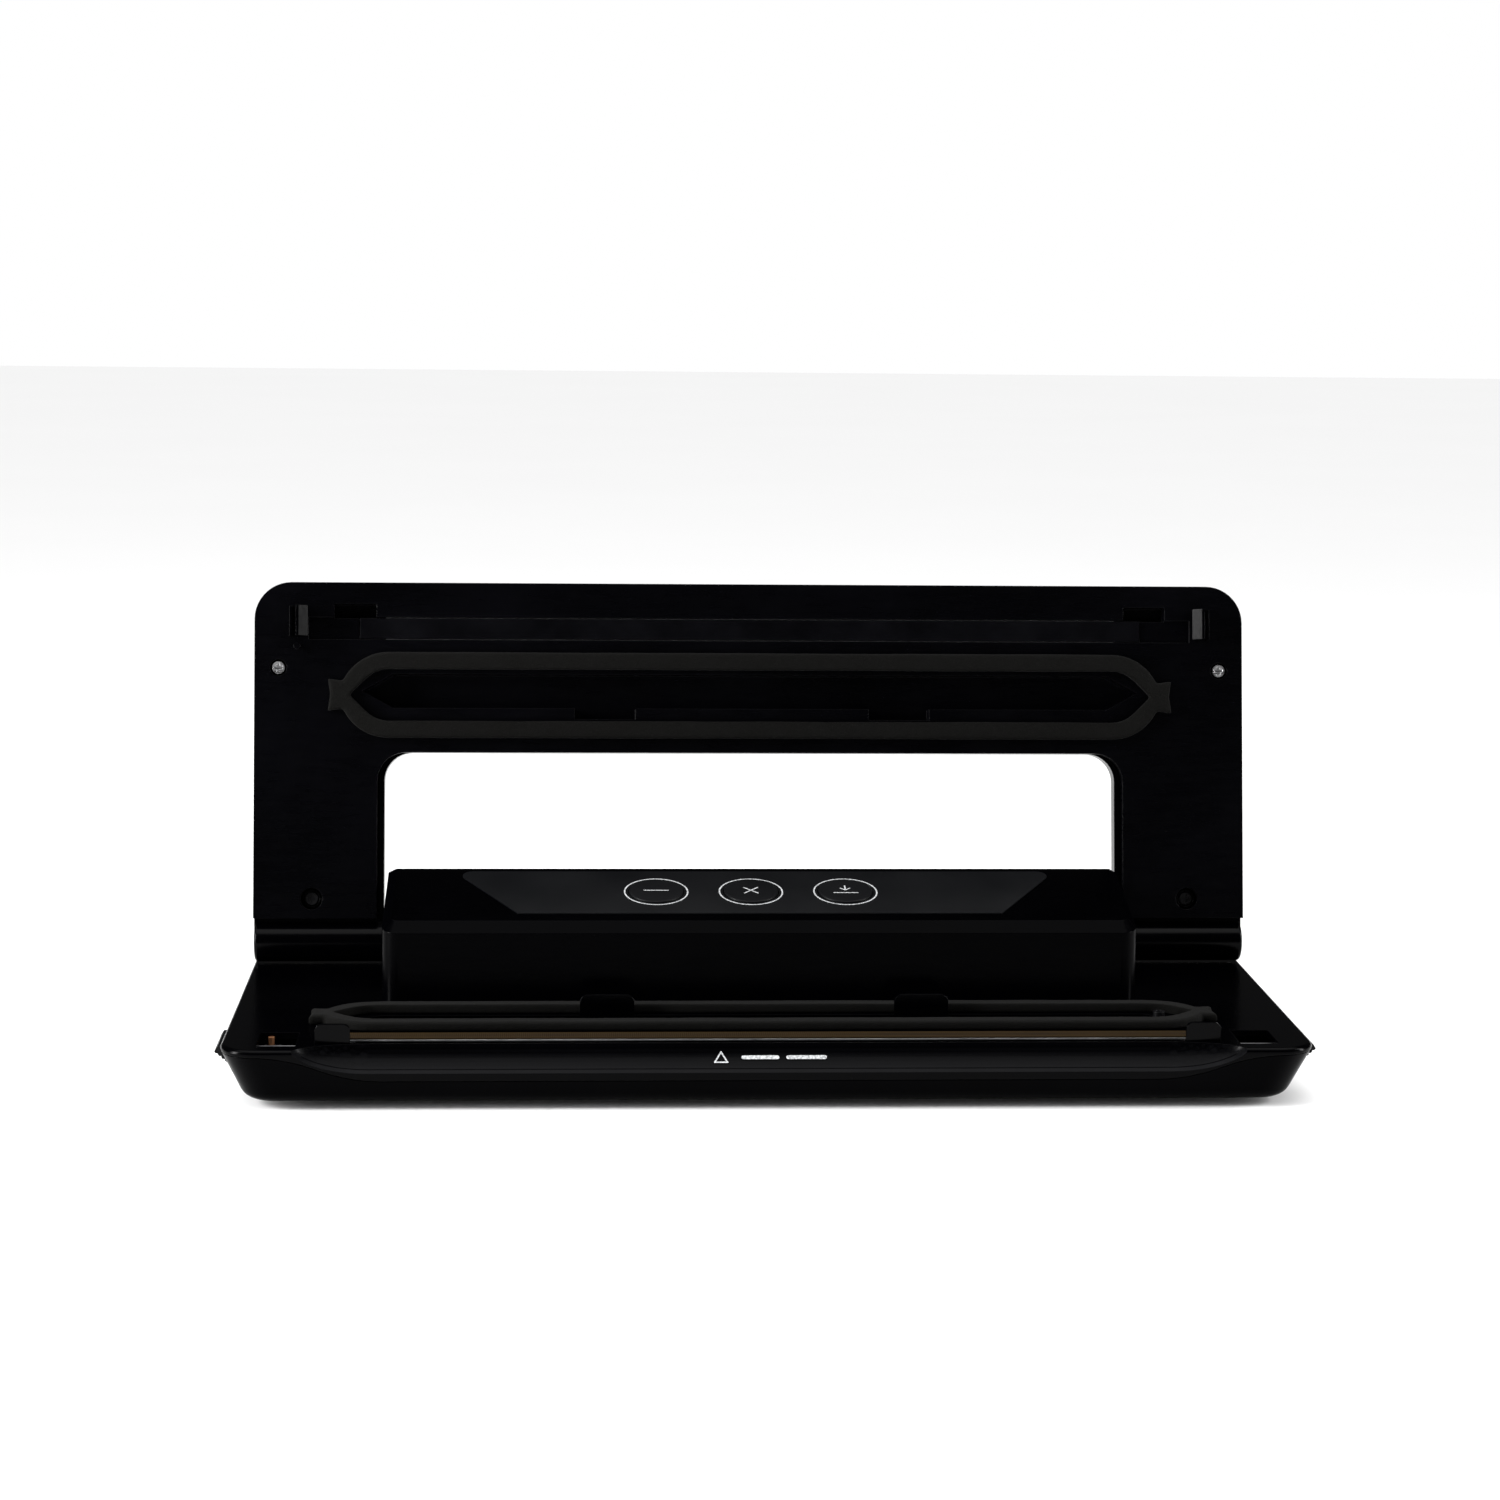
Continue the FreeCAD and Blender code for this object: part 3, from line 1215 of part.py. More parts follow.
# ---------------------------------------------------------------- latches

def button_form():
    """A release button with its finger grooves."""
    outer = "half_width + button_ridge"
    top = "deck_height - button_drop"
    points = [
        ("button_root", "button_low"), ("half_width - button_ridge", "button_low"),
        (outer, f"{top} - button_round * 3"), (f"{outer} - button_round * 2", top), ("button_root", top),
    ]
    cap = outline("button_cap", "xz", points, "button_back", "button_front - button_back")
    round_off(cap, lambda edge: across_wall(edge) and ends(edge)[0].x > sheet.half_width, "button_round")
    grooves = []
    for step in (1, 2, 3, 4):
        part = f"{step} / 5"
        across = f"half_width - button_ridge + {part} * button_ridge * 2 + 0.15"
        climb = f"button_low + {part} * ({top} - button_round * 3 - button_low)"
        grooves.append(rod(f"button_groove_{step}", "y", (across, "-button_front - 1", climb),
                           "button_front - button_back + 2", "0.45"))
    return cut("button_form", cap, *grooves)


def slider_form():
    """A latch slider: the catch, the rails beside its window and the tongue to the button."""
    rails = ahead("hook_front + catch_play + slider_rail", "hook_back - catch_play - slider_rail")
    plate = block("slider_plate", ("slider_inner", "window_outer + slider_rail"), rails,
                  ("catch_low", "catch_top"))
    window = block("slider_window", ("window_inner", "window_outer"),
                   ahead("hook_front + catch_play", "hook_back - catch_play"),
                   ("catch_low - 1", "catch_top + 1"))
    tongue = block("slider_tongue", ("window_outer", "button_root"),
                   ahead("button_front - 1", "hook_back - catch_play - slider_rail"),
                   ("catch_low", "catch_top"))
    return join("slider_form", cut("slider_open", plate, window), tongue)


def latch_spring_form():
    """The spring between the slider and its post."""
    spring = doc.addObject("Part::Feature", "spring_form")
    turns = 7
    wire = sheet.spring_wire
    pitch = (sheet.spring_length - 2 * wire) / turns
    helix = Part.makeHelix(pitch, sheet.spring_length - 2 * wire, sheet.spring_radius - wire)
    start = FreeCAD.Vector(sheet.spring_radius - wire, 0, 0)
    section = Part.Wire([Part.makeCircle(wire, start, FreeCAD.Vector(0, 1, 0))])
    coil = Part.Wire(helix.Edges).makePipeShell([section], True, True)
    coil.Placement = FreeCAD.Placement(FreeCAD.Vector(), TURN_TO["x"])
    spring.Shape = coil
    start_x = "slider_inner - spring_length + spring_wire"
    at(spring, start_x, "-(hook_front + hook_back) / 2", "(catch_low + catch_top) / 2")
    return spring


def latches():
    """Buttons, sliders and springs on both sides."""
    button, slider, spring = button_form(), slider_form(), latch_spring_form()
    node("right_release_button", group("right_release_button", button))
    node("left_release_button", group("left_release_button", mirrored("button_mirror", button)))
    node("right_latch_slider", group("right_latch_slider", slider))
    node("left_latch_slider", group("left_latch_slider", mirrored("slider_mirror", slider)))
    node("right_latch_spring", group("right_latch_spring", spring))
    node("left_latch_spring", group("left_latch_spring", mirrored("spring_mirror", spring)))


def lid_switch():
    """The switch under the left socket and its copper plunger."""
    spot = ("-plunger_place", "-plunger_reach")
    room = "plunger_radius + pin_play"
    low = "catch_low - slider_thick * 2"
    case = block("switch_case", (f"{spot[0]} - plunger_radius * 2.5", f"{spot[0]} + plunger_radius * 2.5"),
                 (f"{spot[1]} - {room} - 0.3", f"{spot[1]} + plunger_radius * 4"), (low, "catch_low + 1"))
    bore = rod("switch_bore", "z", (*spot, f"{low} + 1"), "deck_height", room)
    node("lid_switch", cut("lid_switch", case, bore))
    start = f"{low} + 1 + plunger_travel + pin_play"
    pin = rod("switch_pin", "z", (*spot, start), f"deck_height - plunger_low - ({start})", "plunger_radius")
    node("lid_switch_plunger", group("lid_switch_plunger", pin))


# ---------------------------------------------------------------- inner works

def pump():
    """Motor, eccentric, connecting rod, piston, cylinder and bracket."""
    axis = ("-pump_reach", "shaft_height")
    case = rod("motor_case", "x", ("motor_place", *axis), "motor_length", "motor_radius")
    nose = rod("motor_nose", "x", ("motor_face - 1", *axis), "3", "motor_radius / 2.5")
    bore = rod("motor_bore", "x", ("motor_face - shaft_length", *axis), "shaft_length * 2",
               "shaft_radius + pin_play")
    node("pump_motor", cut("pump_motor", join("motor_blank", case, nose), bore))
    shaft = rod("shaft_form", "x", ("motor_face - shaft_length + 1", *axis), "shaft_length * 2 - 1",
                "shaft_radius")
    node("motor_shaft", group("motor_shaft", shaft))
    off = (f"{axis[0]}", "shaft_height + throw")
    disc = rod("eccentric_disc", "x", ("motor_face + eccentric_place", *off), "eccentric_thick",
               "eccentric_radius")
    hole = rod("eccentric_hole", "x", ("motor_face", *axis), "shaft_length", "shaft_radius")
    node("eccentric", cut("eccentric", disc, hole))
    ring = rod("rod_ring", "x", ("motor_face + eccentric_place + 0.5", *off), "eccentric_thick - 1",
               "rod_radius")
    stem = block("rod_stem", ("rod_place - 1.5", "rod_place + 1.5"), ("-pump_reach - 3", "-pump_reach + 3"),
                 (off[1], "piston_low + throw"))
    ring_bore = rod("rod_bore", "x", ("motor_face", *off), "shaft_length", "eccentric_radius + pin_play")
    node("connecting_rod", cut("connecting_rod", join("rod_blank", ring, stem), ring_bore))
    spot = ("rod_place", "-pump_reach")
    cup = rod("cup_form", "z", (*spot, "piston_low + throw"), "piston_thick", "piston_radius")
    node("piston_cup", group("piston_cup", cup))
    low = "piston_low - throw - 1"
    wall = rod("cylinder_wall", "z", (*spot, low), f"head_low + head_thick - ({low})",
               "cylinder_bore + cylinder_wall")
    room = rod("cylinder_room", "z", (*spot, f"({low}) - 1"), f"head_low - ({low}) + 1", "cylinder_bore")
    port = rod("cylinder_port", "y",
               ("rod_place", "-pump_reach - cylinder_bore - cylinder_wall * 3", "port_height"),
               "cylinder_bore + cylinder_wall * 3", "hose_bore")
    drop = rod("cylinder_drop", "z", (*spot, "head_low - 1"), "port_height - head_low + 1", "hose_bore")
    node("pump_cylinder", cut("pump_cylinder", wall, room, port, drop))
    bracket_low = "foot_height + shell"
    cradle = block("bracket_cradle", ("motor_place + 6", "motor_face - 6"),
                   ("-pump_reach - 12", "-pump_reach + 12"),
                   (bracket_low, "shaft_height"))
    cradle_room = rod("bracket_room", "x", ("motor_place", *axis), "motor_length",
                      "motor_radius + pin_play")
    node("pump_bracket", cut("pump_bracket", cradle, cradle_room))


def suction_hose():
    """The hose from the trough to the pump head."""
    across = sheet.motor_place + sheet.motor_length + sheet.eccentric_place + sheet.eccentric_thick / 2
    low = sheet.hose_height
    high = worth("port_height")
    first = -worth("trough_back") + sheet.trough_wall
    last = -sheet.pump_reach - sheet.piston_radius - sheet.piston_room - sheet.cylinder_wall
    bend_y = last - sheet.hose_lead
    route = [(first, low), (bend_y, low), (bend_y, high), (last, high)]
    points = [FreeCAD.Vector(across, along, level) for along, level in route]
    hose = tube_along("suction_hose_form", points, sheet.hose_bend, sheet.hose_radius, sheet.hose_bore)
    node("suction_hose", group("suction_hose", hose))


def electrics():
    """Transformer, power board and its components."""
    floor = "foot_height + shell"
    core = block("transformer_core", ("50", "98"), ("-58", "-18"), (floor, f"{floor} + 40"))
    coil = block("transformer_coil", ("58", "90"), ("-63", "-13"), (f"{floor} + 7", f"{floor} + 33"))
    node("transformer", join("transformer", core, coil))
    board = block("power_board_plate", ("-20", "36"), ("-60", "0"),
                  (f"{floor} + 4", f"{floor} + 4 + board_thick"))
    legs = [
        rod("board_leg", "z", (x, y, floor), "4", "boss_radius / 2") for x in ("-16", "32") for y in ("-56",
                                                                                                      "-4")
    ]
    node("power_board", join("power_board", board, *legs))
    top = f"{floor} + 4 + board_thick"
    parts = [
        rod("board_can", "z", ("-8", "-46", top), "20", "6"),
        rod("board_can_small", "z", ("6", "-48", top), "12", "4"),
        block("board_relay", ("16", "32"), ("-56", "-38"), (top, f"{top} + 15")),
        block("board_heat_sink", ("-16", "12"), ("-22", "-12"), (top, f"{top} + 18")),
        block("board_plug", ("20", "32"), ("-20", "-8"), (top, f"{top} + 8")),
    ]
    node("board_components", group("board_components", *parts))


def vent_valve():
    """The valve that lets air back into the chamber."""
    spot = ("valve_place", "-pump_reach")
    floor = "foot_height + shell"
    body = block("valve_body", ("valve_place - 9", "valve_place + 9"),
                 ("-pump_reach - 9", "-pump_reach + 9"),
                 (floor, f"{floor} + 22"))
    well = rod("valve_well", "z", (*spot, f"{floor} + 8"), "20", "3 + pin_play")
    node("vent_valve", cut("vent_valve", body, well))
    pin = rod("valve_pin", "z", (*spot, f"{floor} + 8 + valve_travel + 0.5"), "18", "3")
    node("vent_valve_plunger", group("vent_valve_plunger", pin))


def mains_inlet():
    """The mains socket in the back wall, with its two pins."""
    case = mains_case("inlet_case", "0", ("panel_tail - inlet_deep", "panel_tail"))
    rim = mains_case("inlet_rim", "flange", ("panel_tail", "panel_tail + flange"))
    well = mains_case("inlet_well", "-flange", ("panel_tail - inlet_deep + flange", "panel_tail * 2"))
    node("mains_inlet", cut("mains_inlet", join("inlet_blank", case, rim), well))
    level = "(inlet_low + inlet_high) / 2"
    pins = [
        rod("inlet_pin", "y",
            (f"inlet_place {side} inlet_half / 2.8", "panel_tail - inlet_deep + flange", level),
            "inlet_deep / 3", "flange * 0.6")
        for side in ("+", "-")
    ]
    node("mains_pins", group("mains_pins", *pins))


def mains_case(name, grow, along):
    """A box of the mains inlet, grown or set in evenly."""
    return block(name, (f"inlet_place - inlet_half - ({grow})", f"inlet_place + inlet_half + ({grow})"),
                 along,
                 (f"inlet_low - ({grow})", f"inlet_high + ({grow})"))


# ---------------------------------------------------------------- build

def check_and_write():
    """Stop on any failed object or bad shape, then write every sub-part."""
    doc.recompute()
    for thing in doc.Objects:
        if "Invalid" in thing.State or "Error" in thing.State:
            raise RuntimeError(f"{thing.Name} failed: {thing.State}")
    for piece in nodes:
        if piece.Shape.isNull() or not piece.Shape.isValid() or not piece.Shape.Solids:
            raise RuntimeError(f"{piece.Label} has no valid shape")
    os.makedirs("parts", exist_ok=True)
    whole = FreeCAD.BoundBox()
    for piece in nodes:
        whole.add(piece.Shape.BoundBox)
        piece.Shape.exportStep(f"parts/{piece.Label}.step")
    print("nodes", len(nodes), "box", whole)


fill_sheet()
lower_housing()
deck_cover()
rubber_feet()
bottom_screws()
chamber()
control_housing()
control_overlay()
keys()
lid()
latches()
lid_switch()
pump()
suction_hose()
electrics()
vent_valve()
mains_inlet()
check_and_write()
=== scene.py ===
import math

import bmesh
import bpy
from mathutils import Matrix, Vector


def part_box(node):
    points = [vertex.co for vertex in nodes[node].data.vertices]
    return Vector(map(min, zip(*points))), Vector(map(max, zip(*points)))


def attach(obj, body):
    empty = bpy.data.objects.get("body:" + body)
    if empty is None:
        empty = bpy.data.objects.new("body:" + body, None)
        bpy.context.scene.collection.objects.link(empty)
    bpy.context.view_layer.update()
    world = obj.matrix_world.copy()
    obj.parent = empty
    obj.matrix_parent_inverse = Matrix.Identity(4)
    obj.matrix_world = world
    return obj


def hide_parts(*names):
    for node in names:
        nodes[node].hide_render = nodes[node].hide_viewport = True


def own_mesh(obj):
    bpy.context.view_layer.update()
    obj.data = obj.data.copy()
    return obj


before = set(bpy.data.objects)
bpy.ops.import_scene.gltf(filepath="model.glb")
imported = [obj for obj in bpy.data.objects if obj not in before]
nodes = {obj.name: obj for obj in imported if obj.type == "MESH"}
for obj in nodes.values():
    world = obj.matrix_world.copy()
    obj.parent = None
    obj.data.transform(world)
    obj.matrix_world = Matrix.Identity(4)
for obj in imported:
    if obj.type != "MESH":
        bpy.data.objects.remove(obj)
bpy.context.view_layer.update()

MM = 0.001
PANEL_SLOPE = math.radians(12.5)


# ---------------------------------------------------------------- materials

def start_material(name, color, roughness, metallic=0.0, specular=0.5):
    """A principled material and the pieces needed to add detail to it."""
    material = bpy.data.materials.new(name)
    material.use_nodes = True
    tree = material.node_tree
    shader = tree.nodes["Principled BSDF"]
    shader.inputs["Base Color"].default_value = (*color, 1)
    shader.inputs["Roughness"].default_value = roughness
    shader.inputs["Metallic"].default_value = metallic
    shader.inputs["Specular IOR Level"].default_value = specular
    place = tree.nodes.new("ShaderNodeTexCoord")
    return material, tree, shader, place.outputs["Object"]


def stretched(tree, coords, scale=(1, 1, 1), turn=(0, 0, 0), move=(0, 0, 0)):
    """Object coordinates, stretched, turned or moved."""
    mapping = tree.nodes.new("ShaderNodeMapping")
    mapping.inputs["Scale"].default_value = scale
    mapping.inputs["Rotation"].default_value = turn
    mapping.inputs["Location"].default_value = move
    tree.links.new(coords, mapping.inputs["Vector"])
    return mapping.outputs["Vector"]


def noise(tree, coords, scale, detail=4.0, roughness=0.5):
    """Cloudy noise, about `scale` blotches to the metre."""
    texture = tree.nodes.new("ShaderNodeTexNoise")
    texture.inputs["Scale"].default_value = scale
    texture.inputs["Detail"].default_value = detail
    texture.inputs["Roughness"].default_value = roughness
    tree.links.new(coords, texture.inputs["Vector"])
    return texture.outputs["Fac"]


def pores(tree, coords, scale):
    """Cell distances, for foam pores, dust and flecks."""
    texture = tree.nodes.new("ShaderNodeTexVoronoi")
    texture.inputs["Scale"].default_value = scale
    tree.links.new(coords, texture.inputs["Vector"])
    return texture.outputs["Distance"]


def spread(tree, value, low, high, to_low, to_high):
    """A value moved from one range to another, and held inside it."""
    remap = tree.nodes.new("ShaderNodeMapRange")
    for label, number in (("From Min", low), ("From Max", high), ("To Min", to_low), ("To Max", to_high)):
        remap.inputs[label].default_value = number
    tree.links.new(value, remap.inputs["Value"])
    return remap.outputs["Result"]


def sums(tree, operation, first, second):
    """One arithmetic step on two values or numbers."""
    step = tree.nodes.new("ShaderNodeMath")
    step.operation = operation
    for socket, value in zip(step.inputs, (first, second)):
        if isinstance(value, (int, float)):
            socket.default_value = value
        else:
            tree.links.new(value, socket)
    return step.outputs["Value"]


def blend_colors(tree, amount, first, second):
    """Two colours mixed by an amount."""
    mix = tree.nodes.new("ShaderNodeMix")
    mix.data_type = "RGBA"
    tree.links.new(amount, mix.inputs["Factor"])
    for socket, color in ((mix.inputs["A"], first), (mix.inputs["B"], second)):
        if isinstance(color, tuple):
            socket.default_value = (*color, 1)
        else:
            tree.links.new(color, socket)
    return mix.outputs["Result"]


def bump(tree, shader, height, depth, edge=0.0):
    """Surface relief of a depth in metres, over softly rounded edges."""
    relief = tree.nodes.new("ShaderNodeBump")
    relief.inputs["Strength"].default_value = 1.0
    relief.inputs["Distance"].default_value = depth
    tree.links.new(height, relief.inputs["Height"])
    if edge:
        rounding = tree.nodes.new("ShaderNodeBevel")
        rounding.samples = 6
        rounding.inputs["Radius"].default_value = edge
        tree.links.new(rounding.outputs["Normal"], relief.inputs["Normal"])
    tree.links.new(relief.outputs["Normal"], shader.inputs["Normal"])


def moulded_plastic(name, color, rough_low, rough_high, specular, grain=2600, depth=0.01 * MM, dust=0.25):
    """Black moulded plastic: cloudy polish, fine grain, faint wipe marks and a little dust."""
    material, tree, shader, coords = start_material(name, color, rough_low, specular=specular)
    clouds = noise(tree, coords, 22, 5, 0.6)
    wipes = noise(tree, stretched(tree, coords, (14, 160, 90), (0.2, 0.1, 0.5)), 6, 3)
    polish = sums(tree, "MULTIPLY", sums(tree, "ADD", clouds, wipes), 0.5)
    tree.links.new(spread(tree, polish, 0.35, 0.65, rough_low, rough_high), shader.inputs["Roughness"])
    specks = spread(tree, pores(tree, stretched(tree, coords, (1, 1.3, 0.9)), 130), 0.0, 0.028, 1.0, 0.0)
    patches = spread(tree, noise(tree, coords, 34, 2), 0.5, 0.62, 0.0, dust)
    dusty = sums(tree, "MULTIPLY", specks, patches)
    worn = tuple(part * 2.2 for part in color)
    base = blend_colors(tree, spread(tree, clouds, 0.3, 0.7, 0, 1), color, worn)
    tree.links.new(blend_colors(tree, dusty, base, (0.06, 0.06, 0.062)), shader.inputs["Base Color"])
    bump(tree, shader, noise(tree, coords, grain, 2), depth, 0.35 * MM)
    return material


def lip_plastic():
    """Deck plastic: glossy all over, with a satin grain in the hollow of the front lip."""
    material = moulded_plastic("deck_gloss_with_satin_lip", (0.0001, 0.0001, 0.0002), 0.16, 0.24, 0.03)
    tree = material.node_tree
    shader = tree.nodes["Principled BSDF"]
    coords = tree.nodes["Texture Coordinate"].outputs["Object"]
    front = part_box("deck_cover")[0].y
    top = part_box("deck_cover")[1].z
    parts = tree.nodes.new("ShaderNodeSeparateXYZ")
    tree.links.new(coords, parts.inputs["Vector"])
    reach = sums(tree, "SUBTRACT", parts.outputs["Y"], front - LIP_RADIUS * 0.2)
    height = sums(tree, "SUBTRACT", parts.outputs["Z"], top + LIP_RADIUS * 0.223)
    square = sums(tree, "ADD", sums(tree, "MULTIPLY", reach, reach), sums(tree, "MULTIPLY", height, height))
    from_axis = sums(tree, "SQRT", square, 0.5)
    across = sums(tree, "ABSOLUTE", parts.outputs["X"], 0.0)
    along = spread(tree, across, LIP_HALF, LIP_HALF + LIP_TIP, 0.0, 1.0)
    narrowing = sums(tree, "SUBTRACT", 1.0, sums(tree, "MULTIPLY", along, along))
    taper = sums(tree, "MULTIPLY", sums(tree, "SQRT", narrowing, 0.0), LIP_RADIUS)
    off = sums(tree, "ABSOLUTE", sums(tree, "SUBTRACT", from_axis, taper), 0.0)
    in_lip = spread(tree, off, 0.08 * MM, 0.3 * MM, 1.0, 0.0)
    gloss = shader.inputs["Roughness"].links[0].from_socket
    base = shader.inputs["Base Color"].links[0].from_socket
    satin = spread(tree, noise(tree, coords, 60, 4), 0.3, 0.7, 0.44, 0.56)
    rough = tree.nodes.new("ShaderNodeMix")
    tree.links.new(in_lip, rough.inputs["Factor"])
    tree.links.new(gloss, rough.inputs["A"])
    tree.links.new(satin, rough.inputs["B"])
    tree.links.new(rough.outputs["Result"], shader.inputs["Roughness"])
    fine = noise(tree, coords, 3000, 2)
    grain = blend_colors(tree, fine, (0.0024, 0.0024, 0.0028), (0.005, 0.0051, 0.0059))
    tree.links.new(blend_colors(tree, in_lip, base, grain), shader.inputs["Base Color"])
    return material


def panel_film():
    """The satin film of the control panel: a fine print grain under a matt coat."""
    color = (0.0025, 0.0025, 0.003)
    material, tree, shader, coords = start_material("panel_film_satin", color, 0.42, specular=0.1)
    fine = noise(tree, coords, 5200, 2)
    clouds = noise(tree, coords, 30, 4)
    mixed = sums(tree, "MULTIPLY", sums(tree, "ADD", fine, clouds), 0.5)
    tint = blend_colors(tree, mixed, (0.0009, 0.001, 0.0013), (0.002, 0.0022, 0.0029))
    tree.links.new(tint, shader.inputs["Base Color"])
    tree.links.new(spread(tree, clouds, 0.3, 0.7, 0.36, 0.5), shader.inputs["Roughness"])
    bump(tree, shader, fine, 0.006 * MM, 0.15 * MM)
    return material


def gasket_foam():
    """Closed cell foam: fine pores painted darker as painted shade in their hollows, soft blotches and a
    slightly pressed skin.
    """
    color = (0.0062, 0.0062, 0.0056)
    material, tree, shader, coords = start_material("gasket_foam", color, 0.92, specular=0.06)
    cells = pores(tree, coords, 2400)
    blotch = noise(tree, coords, 90, 5, 0.65)
    # The pores are painted darker in colour where the bump sinks them: painted shade inside their hollows.
    pore_shade = spread(tree, cells, 0.0, 0.45, 0.0, 1.0)
    tone = sums(tree, "MULTIPLY", pore_shade, spread(tree, blotch, 0.3, 0.7, 0.55, 1.0))
    tint = blend_colors(tree, tone, (0.0005, 0.0005, 0.0004), (0.0022, 0.0021, 0.0018))
    tree.links.new(tint, shader.inputs["Base Color"])
    tree.links.new(spread(tree, blotch, 0.3, 0.7, 0.82, 1.0), shader.inputs["Roughness"])
    shader.inputs["Sheen Weight"].default_value = 0.01
    shader.inputs["Sheen Roughness"].default_value = 0.6
    bump(tree, shader, sums(tree, "ADD", cells, noise(tree, coords, 900, 3)), 0.12 * MM)
    return material


def sealing_tape():
    """Coated glass cloth tape: a tight weave, ochre brown, darker along the heated line."""
    color = (0.04, 0.021, 0.008)
    material, tree, shader, coords = start_material("sealing_tape_weave", color, 0.55, specular=0.08)
    waves = []
    for turn in (0, math.pi / 2):
        thread = tree.nodes.new("ShaderNodeTexWave")
        thread.wave_profile = "SIN"
        thread.inputs["Scale"].default_value = 420
        thread.inputs["Distortion"].default_value = 0.6
        tree.links.new(stretched(tree, coords, (1, 1, 1), (0, 0, turn)), thread.inputs["Vector"])
        waves.append(thread.outputs["Fac"])
    weave = sums(tree, "MULTIPLY", waves[0], waves[1])
    low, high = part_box("seal_tape")
    parts = tree.nodes.new("ShaderNodeSeparateXYZ")
    tree.links.new(coords, parts.inputs["Vector"])
    middle = sums(tree, "ABSOLUTE", sums(tree, "SUBTRACT", parts.outputs["Y"], (low.y + high.y) / 2), 0.0)
    scorch = spread(tree, middle, 0.8 * MM, 2.2 * MM, 0.75, 0.0)
    streaks = noise(tree, stretched(tree, coords, (0.3, 1, 1)), 120)
    scorch = sums(tree, "MULTIPLY", scorch, spread(tree, streaks, 0.3, 0.6, 0.2, 1))
    cloth = blend_colors(tree, weave, (0.011, 0.0062, 0.0014), (0.037, 0.0215, 0.0052))
    stained = spread(tree, noise(tree, coords, 45, 4), 0.4, 0.7, 0, 0.5)
    stains = blend_colors(tree, stained, cloth, (0.016, 0.009, 0.004))
    tree.links.new(blend_colors(tree, scorch, stains, (0.008, 0.005, 0.003)), shader.inputs["Base Color"])
    tree.links.new(spread(tree, weave, 0, 1, 0.6, 0.38), shader.inputs["Roughness"])
    bump(tree, shader, weave, 0.05 * MM)
    return material


def soft_rubber(name, color, rough_low, rough_high, specular=0.35):
    """Rubber or silicone with a powdery, slightly uneven skin."""
    material, tree, shader, coords = start_material(name, color, rough_low, specular=specular)
    clouds = noise(tree, coords, 60, 5, 0.6)
    paler = tuple(part * 2.0 for part in color)
    tint = blend_colors(tree, spread(tree, clouds, 0.35, 0.7, 0, 1), color, paler)
    tree.links.new(tint, shader.inputs["Base Color"])
    tree.links.new(spread(tree, clouds, 0.3, 0.7, rough_low, rough_high), shader.inputs["Roughness"])
    bump(tree, shader, noise(tree, coords, 1500, 3), 0.02 * MM, 0.3 * MM)
    return material


def worked_metal(name, color, rough_low, rough_high, lines=(40, 900, 900)):
    """Metal with drawn or machined lines and small stains, over softly rounded edges."""
    material, tree, shader, coords = start_material(name, color, rough_low, metallic=1.0)
    streaks = noise(tree, stretched(tree, coords, lines), 1.0, 3)
    stains = noise(tree, coords, 120, 4, 0.6)
    darker = tuple(part * 0.62 for part in color)
    tint = blend_colors(tree, spread(tree, stains, 0.4, 0.7, 0, 1), color, darker)
    tree.links.new(tint, shader.inputs["Base Color"])
    tree.links.new(spread(tree, streaks, 0.3, 0.7, rough_low, rough_high), shader.inputs["Roughness"])
    bump(tree, shader, streaks, 0.015 * MM, 0.15 * MM)
    return material


def circuit_board():
    """Green solder mask with copper traces showing through and small pads."""
    material, tree, shader, coords = start_material("board_solder_mask", (0.02, 0.12, 0.05), 0.3)
    bricks = tree.nodes.new("ShaderNodeTexBrick")
    bricks.inputs["Scale"].default_value = 160
    bricks.inputs["Mortar Size"].default_value = 0.03
    bricks.inputs["Color1"].default_value = (0.012, 0.085, 0.035, 1)
    bricks.inputs["Color2"].default_value = (0.016, 0.11, 0.045, 1)
    bricks.inputs["Mortar"].default_value = (0.05, 0.2, 0.08, 1)
    tree.links.new(coords, bricks.inputs["Vector"])
    pads = spread(tree, pores(tree, coords, 260), 0.1, 0.14, 1.0, 0.0)
    tint = blend_colors(tree, pads, bricks.outputs["Color"], (0.6, 0.6, 0.58))
    tree.links.new(tint, shader.inputs["Base Color"])
    tree.links.new(spread(tree, noise(tree, coords, 80), 0.3, 0.7, 0.22, 0.4), shader.inputs["Roughness"])
    bump(tree, shader, pads, 0.05 * MM)
    return material


def print_ink():
    """Pale grey screen print with worn spots."""
    material, tree, shader, coords = start_material("pale_print_ink", (0.42, 0.43, 0.44), 0.55, specular=0.3)
    worn = spread(tree, noise(tree, coords, 1400, 4), 0.35, 0.6, 0, 1)
    tint = blend_colors(tree, worn, (0.2, 0.205, 0.21), (0.5, 0.51, 0.52))
    tree.links.new(tint, shader.inputs["Base Color"])
    tree.links.new(spread(tree, worn, 0, 1, 0.65, 0.5), shader.inputs["Roughness"])
    return material


LIP_RADIUS = 13 * MM
LIP_HALF = 143 * MM
LIP_TIP = 28 * MM

